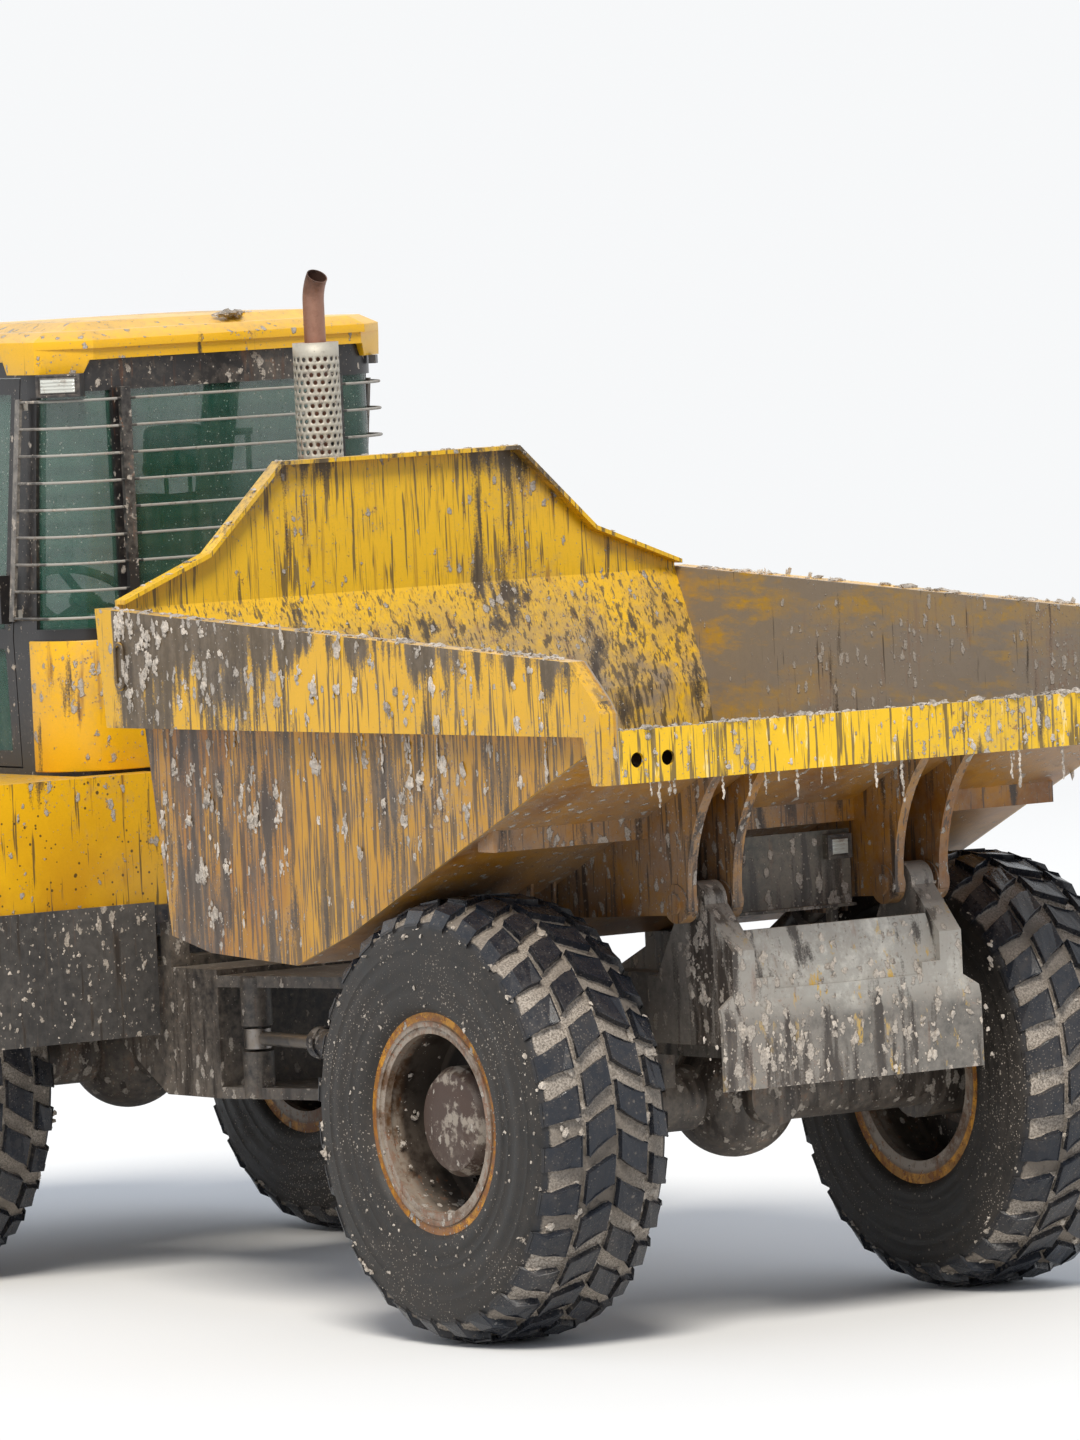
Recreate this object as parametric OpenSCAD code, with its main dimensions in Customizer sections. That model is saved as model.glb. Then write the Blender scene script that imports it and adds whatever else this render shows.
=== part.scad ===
// Two-axle articulated dump truck. +X is forward, +Y is the truck's left, +Z is up.
// The origin is on the ground, in the middle of the truck's length and width.

/* [Whole truck] */
// Distance between the axles
wheelbase = 3750; // [3600:10:4100]
// From the rear axle back to the tail lip
rear_overhang = 1100; // [1080:10:1250]
// From the front axle forward to the bumper
front_overhang = 1700; // [1650:10:1900]
// From the rear axle forward to the steering pivot
pivot_ahead = 1600; // [1560:10:1640]
// Height of the roll axis between the two halves
roll_axis_z = 850; // [820:5:880]

/* [Wheels] */
// Outer diameter of a tyre over its tread
tyre_d = 1470; // [1300:10:1480]
// Width of a tyre
tyre_w = 520; // [420:10:540]
// Distance between the middles of the two tyres of an axle
track = 1950; // [1900:10:2050]
// Diameter over the rim's flanges
rim_d = 750; // [640:10:780]

/* [Dump bed] */
// Width over the top rails
bed_w = 2460; // [2300:10:2600]
// Width of a top rail
rail_w = 70; // [50:5:100]
// Thickness of the bed's steel plate
plate_t = 12; // [8:1:16]
// Height of the tipping hinge
hinge_z = 1420; // [1400:5:1440]
// From the rear axle back to the tipping hinge
hinge_back = 480; // [440:5:520]
// Diameter of the tipping hinge pins
hinge_pin_d = 70; // [50:1:80]
// Width of the flat top of the headboard
headboard_top_w = 980; // [700:10:1300]

/* [Frame] */
// Distance between the outer faces of the frame's two rear beams
rear_beam_w = 760; // [700:10:800]
// Thickness of a rear beam
beam_t = 80; // [50:5:100]
// Width of the bent tail plate at its foot
tail_plate_w = 1050; // [900:10:1150]
// Diameter of the roll tube
roll_tube_d = 260; // [200:5:280]
// Diameter of the steering pivot pin
pivot_pin_d = 90; // [60:2:110]

/* [Cab] */
// Width of the cab
cab_w = 1400; // [1300:10:1440]
// Height of the cab's floor
cab_floor_z = 1780; // [1760:5:1800]
// Height of the top of the cab's frame, under the roof
cab_top_z = 3230; // [3150:5:3280]
// Radius of the cab's rounded rear corners
cab_corner_r = 200; // [140:5:220]
// Thickness of the cab's pillars and wall
cab_wall = 40; // [30:2:60]
// Thickness of the glass
glass_t = 8; // [5:1:12]
// Number of rods in the guard behind the cab
guard_rods = 9; // [5:1:12]
// Diameter of a guard rod
guard_rod_d = 10; // [6:1:14]

/* [Exhaust] */
// Diameter of the exhaust pipe
pipe_d = 76; // [60:2:90]
// Diameter of the heat shield around it
shield_d = 163; // [130:1:180]
// Height of the exhaust's mouth
exhaust_top_z = 3560; // [3450:10:3650]

/* [Hidden] */
$fn = 64;

// Clearances: a running fit, a seat between pieces and a gap beside a moving piece
run = 0.4;
seat = 0.3;
gap = 6;

// Places along the truck
length = rear_overhang + wheelbase + front_overhang;
rear_x = rear_overhang - length / 2;
front_x = rear_x + wheelbase;
pivot_x = rear_x + pivot_ahead;
wheel_r = tyre_d / 2;
axle_z = wheel_r;
function rx(x) = rear_x + x;
// Places on the front half are counted from above the steering pivot, and hang on the front axle
front_axle_u = 2150;
function fx(u) = front_x - front_axle_u + u;

// Colours
yellow = "gold";
black = [0.08, 0.08, 0.09];
steel = [0.45, 0.45, 0.44];
glass = [0.55, 0.75, 0.68, 0.5];

// A prism across the truck: points are [x, z], from y0 to y1
module across(points, y0, y1)
    translate([0, y1, 0]) rotate([90, 0, 0]) linear_extrude(y1 - y0) polygon(points);

// A box between two corners
module block(a, b) translate(a) cube(b - a);

// A round bar along Y, or along X
module bar_y(x, z, d, y0, y1)
    translate([x, y1, z]) rotate([90, 0, 0]) cylinder(d = d, h = y1 - y0);
module bar_x(x0, x1, y, z, d)
    translate([x0, y, z]) rotate([0, 90, 0]) cylinder(d = d, h = x1 - x0);
module bar_z(x, y, z0, z1, d)
    translate([x, y, z0]) cylinder(d = d, h = z1 - z0);

// The same piece on the left and on the right
module both_sides() { children(); mirror([0, 1, 0]) children(); }

/* Rear frame */
beam_out = rear_beam_w / 2;
beam_in = beam_out - beam_t;
beam_top_z = 1170;
housing_r = roll_tube_d / 2 + 60;
housing_x0 = rx(980);
housing_x1 = pivot_x - 330;
tail_x = rx(-690);
tail_foot_z = 810;
tail_bend_z = 1040;
tail_top_z = 1325;
tail_top_w = 730;
lug_y = 420;
lug_t = 90;
lug_r = 70;
tip_base = [rx(1150), 800];
tip_y = 600;
tip_stub_d = 70;
tip_eye_w = 110;

module rear_frame() color(steel) {
    // Two beams joined by the cross members, the bearing housing and the tail plate
    both_sides() {
        across([[housing_x1, 690], [housing_x1, 1010], [rx(900), beam_top_z], [tail_x, beam_top_z],
            [tail_x, 900], [rx(500), 900], [rx(800), 690]], beam_in, beam_out);
        // Stub that carries the foot of a tipping cylinder
        bar_y(tip_base[0], tip_base[1], tip_stub_d, beam_out, tip_y + tip_eye_w / 2 + 20);
        bar_y(tip_base[0], tip_base[1], tip_stub_d + 30, beam_out, tip_y - tip_eye_w / 2 - 3);
        bar_y(tip_base[0], tip_base[1], tip_stub_d + 20, tip_y + tip_eye_w / 2 + 3,
            tip_y + tip_eye_w / 2 + 20);
        // Lug for the bed's hinge, with a gusset down to the beam
        difference() {
            union() {
                across([[rx(-hinge_back - lug_r + 4), hinge_z], [rx(-hinge_back + lug_r - 4), hinge_z],
                    [rx(-hinge_back + 260), beam_top_z - 60], [tail_x, beam_top_z - 60],
                    [tail_x, tail_top_z - 60]], lug_y - lug_t / 2, lug_y + lug_t / 2);
                bar_y(rx(-hinge_back), hinge_z, 2 * lug_r, lug_y - lug_t / 2, lug_y + lug_t / 2);
                across([[tail_x, 950], [tail_x, beam_top_z], [rx(-200), beam_top_z], [rx(-200), 950]],
                    beam_out - 1, lug_y + lug_t / 2);
            }
            bar_y(rx(-hinge_back), hinge_z, hinge_pin_d + 2 * run, 300, 540);
        }
        // Pad under the bed
        block([rx(700), beam_in, beam_top_z], [rx(900), beam_out, bed_pad_z - seat]);
    }
    // Housing of the roll bearing
    difference() {
        union() {
            bar_x(housing_x0, housing_x1, 0, roll_axis_z, 2 * housing_r);
            block([housing_x0, -beam_in - 1, 700], [housing_x0 + 40, beam_in + 1, 1000]);
            block([housing_x1 - 40, -beam_in - 1, 700], [housing_x1, beam_in + 1, 1000]);
        }
        bar_x(housing_x0 - 10, housing_x1 + 10, 0, roll_axis_z, roll_tube_d + 2 * run);
    }
    // Cross members
    block([rx(520), -beam_in - 1, 960], [rx(620), beam_in + 1, 1110]);
    block([rx(-60), -beam_in - 1, 1000], [rx(60), beam_in + 1, 1140]);
    // Bent tail plate
    intersection() {
        across([[tail_x, tail_foot_z], [tail_x, tail_bend_z], [tail_x + 75, tail_top_z],
            [tail_x + 59, tail_top_z], [tail_x - 16, tail_bend_z], [tail_x - 16, tail_foot_z]],
            -tail_plate_w / 2, tail_plate_w / 2);
        translate([tail_x - 100, 0, 0]) rotate([90, 0, 90]) linear_extrude(300)
            polygon([[-tail_plate_w / 2, tail_foot_z], [tail_plate_w / 2, tail_foot_z],
                [tail_plate_w / 2, tail_bend_z + 40], [tail_top_w / 2 + 30, 1165],
                [tail_top_w / 2, tail_top_z], [-tail_top_w / 2, tail_top_z],
                [-tail_top_w / 2 - 30, 1165], [-tail_plate_w / 2, tail_bend_z + 40]]);
    }
    block([tail_x - 1, -beam_in - 1, 930], [tail_x + 60, beam_in + 1, 1130]);
}

/* Axles */
tube_d = 220;
hub_d = 300;
spindle_d = 140;
disc_t = 40;
wheel_y = track / 2;
disc_y = wheel_y - 40;

// Tube, drive housing in the middle and the hubs that the wheels turn on
module axle(x, pad_y, pad_top) {
    bar_y(x, axle_z, tube_d, -wheel_y + 200, wheel_y - 200);
    translate([x, 0, axle_z]) sphere(d = 430);
    bar_x(x - 250, x + 250, 0, axle_z, 200);
    both_sides() {
        bar_y(x, axle_z, hub_d, wheel_y - 230, disc_y - 2);
        bar_y(x, axle_z, spindle_d, disc_y - 3, disc_y + disc_t + 20);
        difference() {
            block([x - 100, pad_y[0], axle_z], [x + 100, pad_y[1], pad_top]);
            bar_y(x, axle_z, tube_d - 1, pad_y[0] - 1, pad_y[1] + 1);
        }
    }
}
module rear_axle() color(steel) axle(rear_x, [beam_in, beam_out], 900);
module front_axle() color(steel) axle(front_x, [front_beam_in, front_beam_out], 880);

// Rubber ring with rounded shoulders
module tyre(x, y) color([0.13, 0.13, 0.14]) {
    r = wheel_r;
    w = tyre_w / 2;
    bead = rim_d / 2 - 38;
    translate([x, y, axle_z]) rotate([90, 0, 0]) rotate_extrude($fn = 96)
        polygon([[bead, -w + 62], [rim_d / 2 + 2, -w + 62], [rim_d / 2 + 6, -w + 24],
            [rim_d / 2 + 60, -w + 4], [r - 180, -w],
            [r - 90, -w + 8], [r - 34, -w + 40], [r, -w + 110], [r, w - 110], [r - 34, w - 40],
            [r - 90, w - 8], [r - 180, w], [rim_d / 2 + 60, w - 4], [rim_d / 2 + 6, w - 24],
            [rim_d / 2 + 2, w - 62], [bead, w - 62]]);
}

// Rim with its flanges, disc and hub cover; side is 1 on the left and -1 on the right
module rim(x, y, side) color([0.55, 0.3, 0.12]) {
    w = tyre_w / 2;
    barrel_r = rim_d / 2 - 38 - seat;
    flange = [w - 62 + seat, w - 30];
    translate([x, y, axle_z]) rotate([90, 0, 0]) mirror([0, 0, side > 0 ? 1 : 0]) difference() {
        rotate_extrude($fn = 96) union() {
            translate([barrel_r - 16, -flange[1]]) square([16, 2 * flange[1]]);
            for (s = [-1, 1])
                translate([barrel_r - 40, s > 0 ? flange[0] : -flange[1]])
                    square([78, flange[1] - flange[0] - 6]);
            // Dished disc and hub cover, both on the outer half
            translate([0, -40]) square([barrel_r - 8, disc_t]);
            polygon([[0, -1], [182, -1], [182, 130], [160, 160], [90, 172], [0, 172]]);
            polygon([[182, -1], [240, -1], [235, 20], [182, 28]]);
        }
        // Bore that runs on the spindle
        translate([0, 0, -42]) cylinder(d = spindle_d + 2 * run, h = disc_t + 24);
    }
}

/* Hitch between the two halves */
arm_x = pivot_x - 250;
arm_y = 330;
fork_z = [640, 1070];
fork_t = 40;
steer_z = roll_axis_z;
barrel_eye_w = 90;
steer_pin_d = 50;

module hitch() color(steel) {
    boss = [fork_z[0] + fork_t + 3, fork_z[1] - fork_t - 3];
    // Pivot boss with the pin through both fork plates
    bar_z(pivot_x, 0, boss[0], boss[1], 200);
    bar_z(pivot_x, 0, fork_z[0] - 20, fork_z[1] + 20, pivot_pin_d);
    block([pivot_x - 310, -95, boss[0]], [pivot_x, 95, boss[1]]);
    // Roll tube in the rear frame's housing, with its retaining flange
    bar_x(housing_x0 - 30, pivot_x - 290, 0, roll_axis_z, roll_tube_d);
    bar_x(housing_x0 - 30, housing_x0 - seat, 0, roll_axis_z, roll_tube_d + 60);
    bar_x(housing_x1 + seat, pivot_x - 300, 0, roll_axis_z, roll_tube_d + 60);
    // Arms that carry the feet of the steering cylinders
    for (side = [-1, 1], level = [-1, 1]) {
        z = steer_z + level * (barrel_eye_w / 2 + 23);
        block([arm_x - 60, min(0, side * arm_y), z - 20], [arm_x + 50, max(0, side * arm_y), z + 20]);
        bar_z(arm_x, side * arm_y, z - 20, z + 20, 110);
    }
    for (side = [-1, 1])
        bar_z(arm_x, side * arm_y, steer_z - 90, steer_z + 90, steer_pin_d);
}

/* Cylinders */
// Barrel that points along +X from its eye at the origin, with an eye whose bore runs on a pin
module barrel(reach, d, eye_d, eye_w, pin_d, rod_d) difference() {
    union() {
        rotate([90, 0, 0]) translate([0, 0, -eye_w / 2]) cylinder(d = eye_d, h = eye_w);
        bar_x(eye_d / 2 - 12, reach - 40, 0, 0, d);
        bar_x(reach - 40, reach, 0, 0, d + 16);
    }
    rotate([90, 0, 0]) translate([0, 0, -eye_w]) cylinder(d = pin_d + 2 * run, h = 2 * eye_w);
    bar_x(reach - 60, reach + 1, 0, 0, rod_d + 2 * run);
    bar_x(eye_d / 2 + 20, reach - 50, 0, 0, d - 24);
}
// Rod of a cylinder, from its piston inside the barrel to its eye at "to"
module rod(from, to, d, piston_d, eye_d, eye_w) difference() {
    union() {
        bar_x(from, to - eye_d / 2 + 10, 0, 0, d);
        bar_x(from, from + 40, 0, 0, piston_d);
        translate([to, 0, 0]) rotate([90, 0, 0]) translate([0, 0, -eye_w / 2])
            cylinder(d = eye_d, h = eye_w);
    }
    translate([to, 0, 0]) rotate([90, 0, 0]) translate([0, 0, -eye_w])
        cylinder(d = eye_d * 0.5, h = 2 * eye_w);
}

// Steering cylinders lie level; the rod's eye hangs in the fork of the front frame
steer_ear_u = 780;
steer_len = fx(steer_ear_u) - arm_x;
steer_barrel_d = 96;
module place_steering(side) translate([arm_x, side * arm_y, steer_z]) rotate([90, 0, 0]) children();
module steering_barrel(side) color(yellow) place_steering(side)
    barrel(640, steer_barrel_d, 110, barrel_eye_w, steer_pin_d, 50);
module steering_rod(side) color("silver") place_steering(side)
    rod(302, steer_len, 50, steer_barrel_d - 25, 96, 70);

// Tipping cylinders stand between the frame and the bed
tip_ear = [rx(250), 1330];
tip_vec = tip_ear - tip_base;
tip_len = norm(tip_vec);
tip_angle = atan2(tip_vec[1], tip_vec[0]);
tip_barrel_d = 130;
module place_tipping(side) translate([tip_base[0], side * tip_y, tip_base[1]]) rotate([0, -tip_angle, 0])
    children();
module tipping_barrel(side) color([0.16, 0.17, 0.19]) place_tipping(side)
    barrel(930, tip_barrel_d, 140, tip_eye_w, tip_stub_d, 70);
module tipping_rod(side) color("silver") place_tipping(side)
    rod(95, tip_len, 70, tip_barrel_d - 25, 96, 60);

/* Front frame */
front_beam_out = 410;
front_beam_in = 330;
front_end_u = front_axle_u + front_overhang;
module front_frame() color(black) {
    both_sides() {
        across([[fx(900), fork_z[0]], [fx(1250), fork_z[0]], [fx(1650), 880], [fx(front_end_u - 120), 880],
            [fx(front_end_u - 120), 1100], [fx(1400), 1100], [fx(900), fork_z[1]]],
            front_beam_in, front_beam_out);
        // Posts under the cab
        for (u = [1400, 2560])
            block([fx(u), front_beam_in, 1099], [fx(u + 80), front_beam_out, cab_floor_z - 60]);
        // Outriggers that carry the fenders, behind and ahead of the wheel
        block([fx(1192), front_beam_in, 1060], [fx(1252), front_beam_out, 1310]);
        block([fx(1192), front_beam_out - 1, 1260], [fx(1252), 1150, 1310]);
        block([fx(3140), front_beam_in, 1099], [fx(3200), front_beam_out, 1420]);
        block([fx(3140), front_beam_out - 1, 1370], [fx(3200), 1150, 1420]);
        // Bosses above and below the eyes of the steering rods
        for (z = [[fork_z[0] + 5, steer_z - 45], [steer_z + 45, fork_z[1] - 5]])
            bar_z(fx(steer_ear_u), arm_y, z[0], z[1], 110);
    }
    // Fork plates around the pivot pin
    difference() {
        for (z = [fork_z[0], fork_z[1] - fork_t]) translate([0, 0, z]) linear_extrude(fork_t) union() {
            translate([pivot_x, 0]) circle(d = 240);
            polygon([[pivot_x, -119], [fx(900), -front_beam_out], [fx(960), -front_beam_out],
                [fx(960), front_beam_out], [fx(900), front_beam_out], [pivot_x, 119]]);
        }
        bar_z(pivot_x, 0, fork_z[0] - 1, fork_z[1] + 1, pivot_pin_d + 2 * run);
    }
    // Cross members: behind, with the deck under the exhaust, in the middle and at the front
    block([fx(900), -front_beam_in - 1, fork_z[0]], [fx(960), front_beam_in + 1, fork_z[1]]);
    block([fx(900), -front_beam_out, fork_z[1] - 1], [fx(1180), front_beam_out, 1090]);
    block([fx(1700), -front_beam_in - 1, 980], [fx(1800), front_beam_in + 1, 1080]);
    block([fx(front_end_u - 220), -front_beam_in - 1, 900],
        [fx(front_end_u - 120), front_beam_in + 1, 1080]);
}

// Plain block of the engine on its four feet
module engine() color(steel) {
    block([fx(2750), -300, 930], [fx(3550), 300, 1830]);
    both_sides() for (u = [2800, 3400])
        block([fx(u), 299, 1100], [fx(u + 90), front_beam_out - 10, 1140]);
}

/* Bonnet, grille and bumper */
bonnet_w = 1080;
bonnet_rear_u = 2690;
bonnet_front_u = front_end_u - 70;
bonnet_top_z = 2150;
bonnet_nose_z = 1960;
bonnet_foot_z = 1460;
bonnet_hinge = [fx(bonnet_rear_u) - 22, bonnet_top_z - 28];
module bonnet_outline(inset)
    across([[fx(bonnet_rear_u), bonnet_foot_z - inset], [fx(bonnet_rear_u), bonnet_top_z - inset],
        [fx(bonnet_rear_u + 300), bonnet_top_z - 10 - inset],
            [fx(bonnet_front_u - 60), bonnet_nose_z + 20 - inset],
        [fx(bonnet_front_u), bonnet_nose_z - 50 - inset], [fx(bonnet_front_u), bonnet_foot_z - inset]],
        -bonnet_w / 2 + inset, bonnet_w / 2 - inset);
module bonnet() color(yellow) {
    difference() {
        bonnet_outline(0);
        // Hollow inside, open behind, in front and below
        for (dx = [-20, 20]) translate([dx, 0, 0]) bonnet_outline(12);
    }
    // Knuckles of the hinge, between the ears on the cab
    both_sides() difference() {
        union() {
            bar_y(bonnet_hinge[0], bonnet_hinge[1], 30, 330, 370);
            block([bonnet_hinge[0], 330, bonnet_hinge[1] - 10],
                [bonnet_hinge[0] + 50, 370, bonnet_top_z - 6]);
        }
        bar_y(bonnet_hinge[0], bonnet_hinge[1], 16 + 2 * run, 300, 400);
    }
}

module grille() color(black) {
    x1 = fx(bonnet_front_u) - 8;
    half = bonnet_w / 2 - 20;
    difference() {
        block([x1 - 40, -half, bumper_z[1]], [x1, half, bonnet_nose_z - 80]);
        block([x1 - 50, -half + 60, 1200], [x1 + 10, half - 60, bonnet_nose_z - 130]);
    }
    for (z = [1230:75:1800])
        block([x1 - 32, -half + 59, z], [x1 - 8, half - 59, z + 26]);
}

bumper_z = [820, 1160];
tow_pin_d = 40;
module front_bumper() color(black) {
    x1 = fx(front_end_u);
    difference() {
        translate([0, 0, bumper_z[0]]) linear_extrude(bumper_z[1] - bumper_z[0])
            polygon([[x1 - 120, -1050], [x1 - 60, -1050], [x1, -880], [x1, 880], [x1 - 60, 1050],
                [x1 - 120, 1050]]);
        // Pocket for a tow bar, with the hole for its pin
        block([x1 - 85, -80, 930], [x1 + 1, 80, 1050]);
        bar_z(x1 - 45, 0, bumper_z[0] - 1, bumper_z[1] + 1, tow_pin_d);
    }
}

/* Fenders */
fender_rear_u = 1180;
fender_out = track / 2 + 241;
fender_in = cab_w / 2;
fender_t = 12;
fender_top_z = cab_floor_z - 2;
module fenders() color(yellow) both_sides() {
    t = fender_t;
    top = fender_top_z;
    // Rear face, from beside the frame to the outer edge
    block([fx(fender_rear_u), front_beam_out + 10, 1250], [fx(fender_rear_u) + t, fender_out, top]);
    // Flat top, sloping down ahead of the wheel
    across([[fx(fender_rear_u), top - t], [fx(3020), top - t], [fx(3230), 1421 - t + 1],
        [fx(3230), 1421 - t - 1],
        [fx(3250), 1421 - t - 1], [fx(3250), 1430], [fx(3030), top], [fx(fender_rear_u), top]],
        fender_in + seat, fender_out);
    // Outer skirt around the wheel
    difference() {
        across([[fx(fender_rear_u), 1250], [fx(fender_rear_u), top - 1], [fx(3020), top - 1],
            [fx(3230), 1421],
            [fx(3230), 1250]], fender_out - t, fender_out);
        bar_y(front_x, axle_z, tyre_d + 230, fender_out - 60, fender_out + 10);
    }
    // Top behind the cab
    block([fx(fender_rear_u), front_beam_out + 10, top - t], [fx(1288), fender_in + 1, top]);
    // Step beside the bonnet
    block([fx(2640), bonnet_w / 2 + 20, top - t], [fx(3010), fender_in + 1, top]);
}

module mudflaps() color([0.2, 0.2, 0.2]) both_sides()
    block([fx(fender_rear_u) - 10, 480, 860], [fx(fender_rear_u), 1200, 1325]);

// Ladder ahead of each front wheel
module steps() color(black) both_sides() {
    u = [3240, 3520];
    for (x = u) block([fx(x), 830, 520], [fx(x) + 10, 1180, 1249]);
    for (z = [540, 860, 1180])
        block([fx(u[0]) + 9, 840, z], [fx(u[1]) + 1, 1170, z + 30]);
    block([fx(u[0]), 830, 1240], [fx(u[1]) + 10, 1180, 1250]);
    // Bracket back to the outrigger
    block([fx(3200) + seat, 900, 1380], [fx(u[0]) + 10, 1100, 1400]);
    block([fx(u[0]), 900, 1249], [fx(u[0]) + 10, 1100, 1400]);
}

/* Cab */
cab_rear_u = 1290;
cab_front_foot_u = 2620;
cab_front_belt_u = 2560;
cab_front_top_u = 2330;
belt_z = 2260;
// Rounded rear corners in plan, straight sides; inset moves every face inwards
module cab_plan(inset) {
    r = cab_corner_r;
    x0 = fx(cab_rear_u);
    w = cab_w / 2;
    difference() {
        union() {
            translate([x0 + inset, -w + r]) square([2000, 2 * w - 2 * r]);
            translate([x0 + r, -w + inset]) square([2000, 2 * w - 2 * inset]);
            for (s = [-1, 1]) translate([x0 + r, s * (w - r)]) circle(r = r - inset);
        }
        translate([fx(cab_front_foot_u) - inset, -w]) square([2000, 2 * w]);
    }
}
module cab_volume(inset, z0, z1) intersection() {
    translate([0, 0, z0]) linear_extrude(z1 - z0) cab_plan(inset);
    across([[fx(cab_rear_u) - 10, z0], [fx(cab_rear_u) - 10, z1], [fx(cab_front_top_u) - inset, z1],
        [fx(cab_front_top_u) - inset, cab_top_z], [fx(cab_front_belt_u) - inset, belt_z],
        [fx(cab_front_foot_u) - inset, cab_floor_z], [fx(cab_front_foot_u) - inset, z0]],
        -cab_w / 2 - 1, cab_w / 2 + 1);
}
// The door's rear edge leans back above the belt and a little below it
door_foot_z = cab_floor_z + 20;
door_top_z = cab_top_z - 55;
door_foot_u = 1640;
door_belt_u = 1660;
door_top_u = 1530;
function door_back(z) = z > belt_z ?
    door_belt_u + (door_top_u - door_belt_u) * (z - belt_z) / (door_top_z - belt_z)
    : door_belt_u + (door_foot_u - door_belt_u) * (belt_z - z) / (belt_z - door_foot_z);
// Opening of a side door as [x, z] points, each edge moved in by "d"
function door_points(d) = [[fx(door_foot_u + d), door_foot_z + d], [fx(door_belt_u + d), belt_z],
    [fx(door_top_u + d), door_top_z - d], [fx(cab_front_top_u - 75 - d), door_top_z - d],
    [fx(cab_front_belt_u - 75 - d), belt_z], [fx(cab_front_foot_u - 95 - d), door_foot_z + d]];
// Upper and lower window of a door as [x, z] points
door_upper = [belt_z + 30, door_top_z - 60];
door_lower = [door_foot_z + 60, belt_z - 40];
function door_window(z) = [[fx(door_back(z[0]) + 60), z[0]], [fx(door_back(z[1]) + 60), z[1]],
    [fx(z[0] > belt_z ? cab_front_top_u - 135 : cab_front_belt_u - 145), z[1]],
    [fx(z[0] > belt_z ? cab_front_belt_u - 145 : cab_front_foot_u - 165), z[0]]];
// Room of a corner window, its front edge leaning like the door's
module corner_room() {
    r = cab_corner_r;
    z = [rear_window[0][1], rear_window[1][1]];
    intersection() {
        translate([fx(cab_rear_u + r), cab_w / 2 - r, z[0]]) rotate([0, 0, 90]) linear_extrude(z[1] - z[0])
            polygon([[40, -20], [r * 1.5, -20], [r * 1.5, r * 1.5], [-20, r * 1.5], [-20, 40]]);
        across([[fx(cab_rear_u) - 200, z[0]], [fx(cab_rear_u + r) + 15, z[0]],
            [fx(cab_rear_u + r) - 50, z[1]],
            [fx(cab_rear_u) - 200, z[1]]], 0, cab_w);
    }
}
rear_window_half = cab_w / 2 - 300;
rear_window = [[-rear_window_half, 2290], [rear_window_half, 3120]];
windscreen_half = cab_w / 2 - 100;
module cab_frame() color(black) {
    difference() {
        cab_volume(0, cab_floor_z - 60, cab_top_z);
        cab_volume(cab_wall, cab_floor_z, cab_top_z + 1);
        // Door openings on both sides
        across(door_points(0), -cab_w, cab_w);
        // Rear window
        block([fx(cab_rear_u) - 50, rear_window[0][0], rear_window[0][1]],
            [fx(cab_rear_u) + 60, rear_window[1][0], rear_window[1][1]]);
        // Windows in the rounded corners
        both_sides() corner_room();
        // Windscreen
        across([[fx(cab_front_belt_u) - 120, belt_z], [fx(cab_front_foot_u) + 50, belt_z],
            [fx(cab_front_foot_u) + 50, cab_top_z - 70], [fx(cab_front_top_u) - 110, cab_top_z - 70]],
            -windscreen_half, windscreen_half);
    }
    // Ears and pins of the bonnet's hinge
    both_sides() for (y = [[312, 327], [373, 388]]) {
        bar_y(bonnet_hinge[0], bonnet_hinge[1], 36, y[0], y[1]);
        block([fx(cab_front_belt_u) - 5, y[0], bonnet_hinge[1] - 18],
            [bonnet_hinge[0], y[1], bonnet_hinge[1] + 18]);
    }
    both_sides() bar_y(bonnet_hinge[0], bonnet_hinge[1], 16, 320, 380);
    // Hinges of the left door: a lug and a pin each
    for (z = door_hinge_z) {
        translate([door_hinge[0], door_hinge[1], z]) cylinder(d = 32, h = 30);
        bar_z(door_hinge[0], door_hinge[1], z, z + 62, 14);
        block([door_hinge[0], cab_w / 2 - 20, z], [door_hinge[0] + 60, door_hinge[1] + 10, z + 30]);
    }
}

door_hinge = [fx(cab_front_foot_u - 95 + 4), cab_w / 2 + 18];
door_hinge_z = [1860, 2180];
door_t = cab_wall;
module left_door() color(black) {
    difference() {
        across(door_points(gap), cab_w / 2 - door_t, cab_w / 2);
        for (z = [door_upper, door_lower]) across(door_window(z), cab_w / 2 - 2 * door_t, cab_w / 2 + 10);
    }
    for (z = door_hinge_z) difference() {
        union() {
            translate([door_hinge[0], door_hinge[1], z + 30.4]) cylinder(d = 32, h = 30);
            block([door_hinge[0] - 110, cab_w / 2 + 4, z + 30.4],
                [door_hinge[0], door_hinge[1] + 10, z + 60.4]);
            block([door_hinge[0] - 110, cab_w / 2 - 1, z + 30.4],
                [door_hinge[0] - 80, cab_w / 2 + 5, z + 60.4]);
        }
        bar_z(door_hinge[0], door_hinge[1], z + 20, z + 70, 14 + 2 * run);
    }
    // Handle
    block([fx(door_belt_u + 12), cab_w / 2 - 1, 2310], [fx(door_belt_u + 42), cab_w / 2 + 40, 2480]);
}
module left_door_glass() color(glass)
    for (z = [door_upper, door_lower]) across(door_window(z), cab_w / 2 - 24, cab_w / 2 - 24 + glass_t);

// Yellow panels below the windows, around the rear corners
panel_t = 14;
module cab_panels() color(yellow)
    translate([0, 0, cab_floor_z + 10]) linear_extrude(460) difference() {
        cab_plan(-panel_t);
        cab_plan(-seat);
        translate([fx(door_foot_u - 100), -cab_w]) square([2000, 2 * cab_w]);
    }

roof_z = [cab_top_z, cab_top_z + 100];
lobe_drop = 45;
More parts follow.
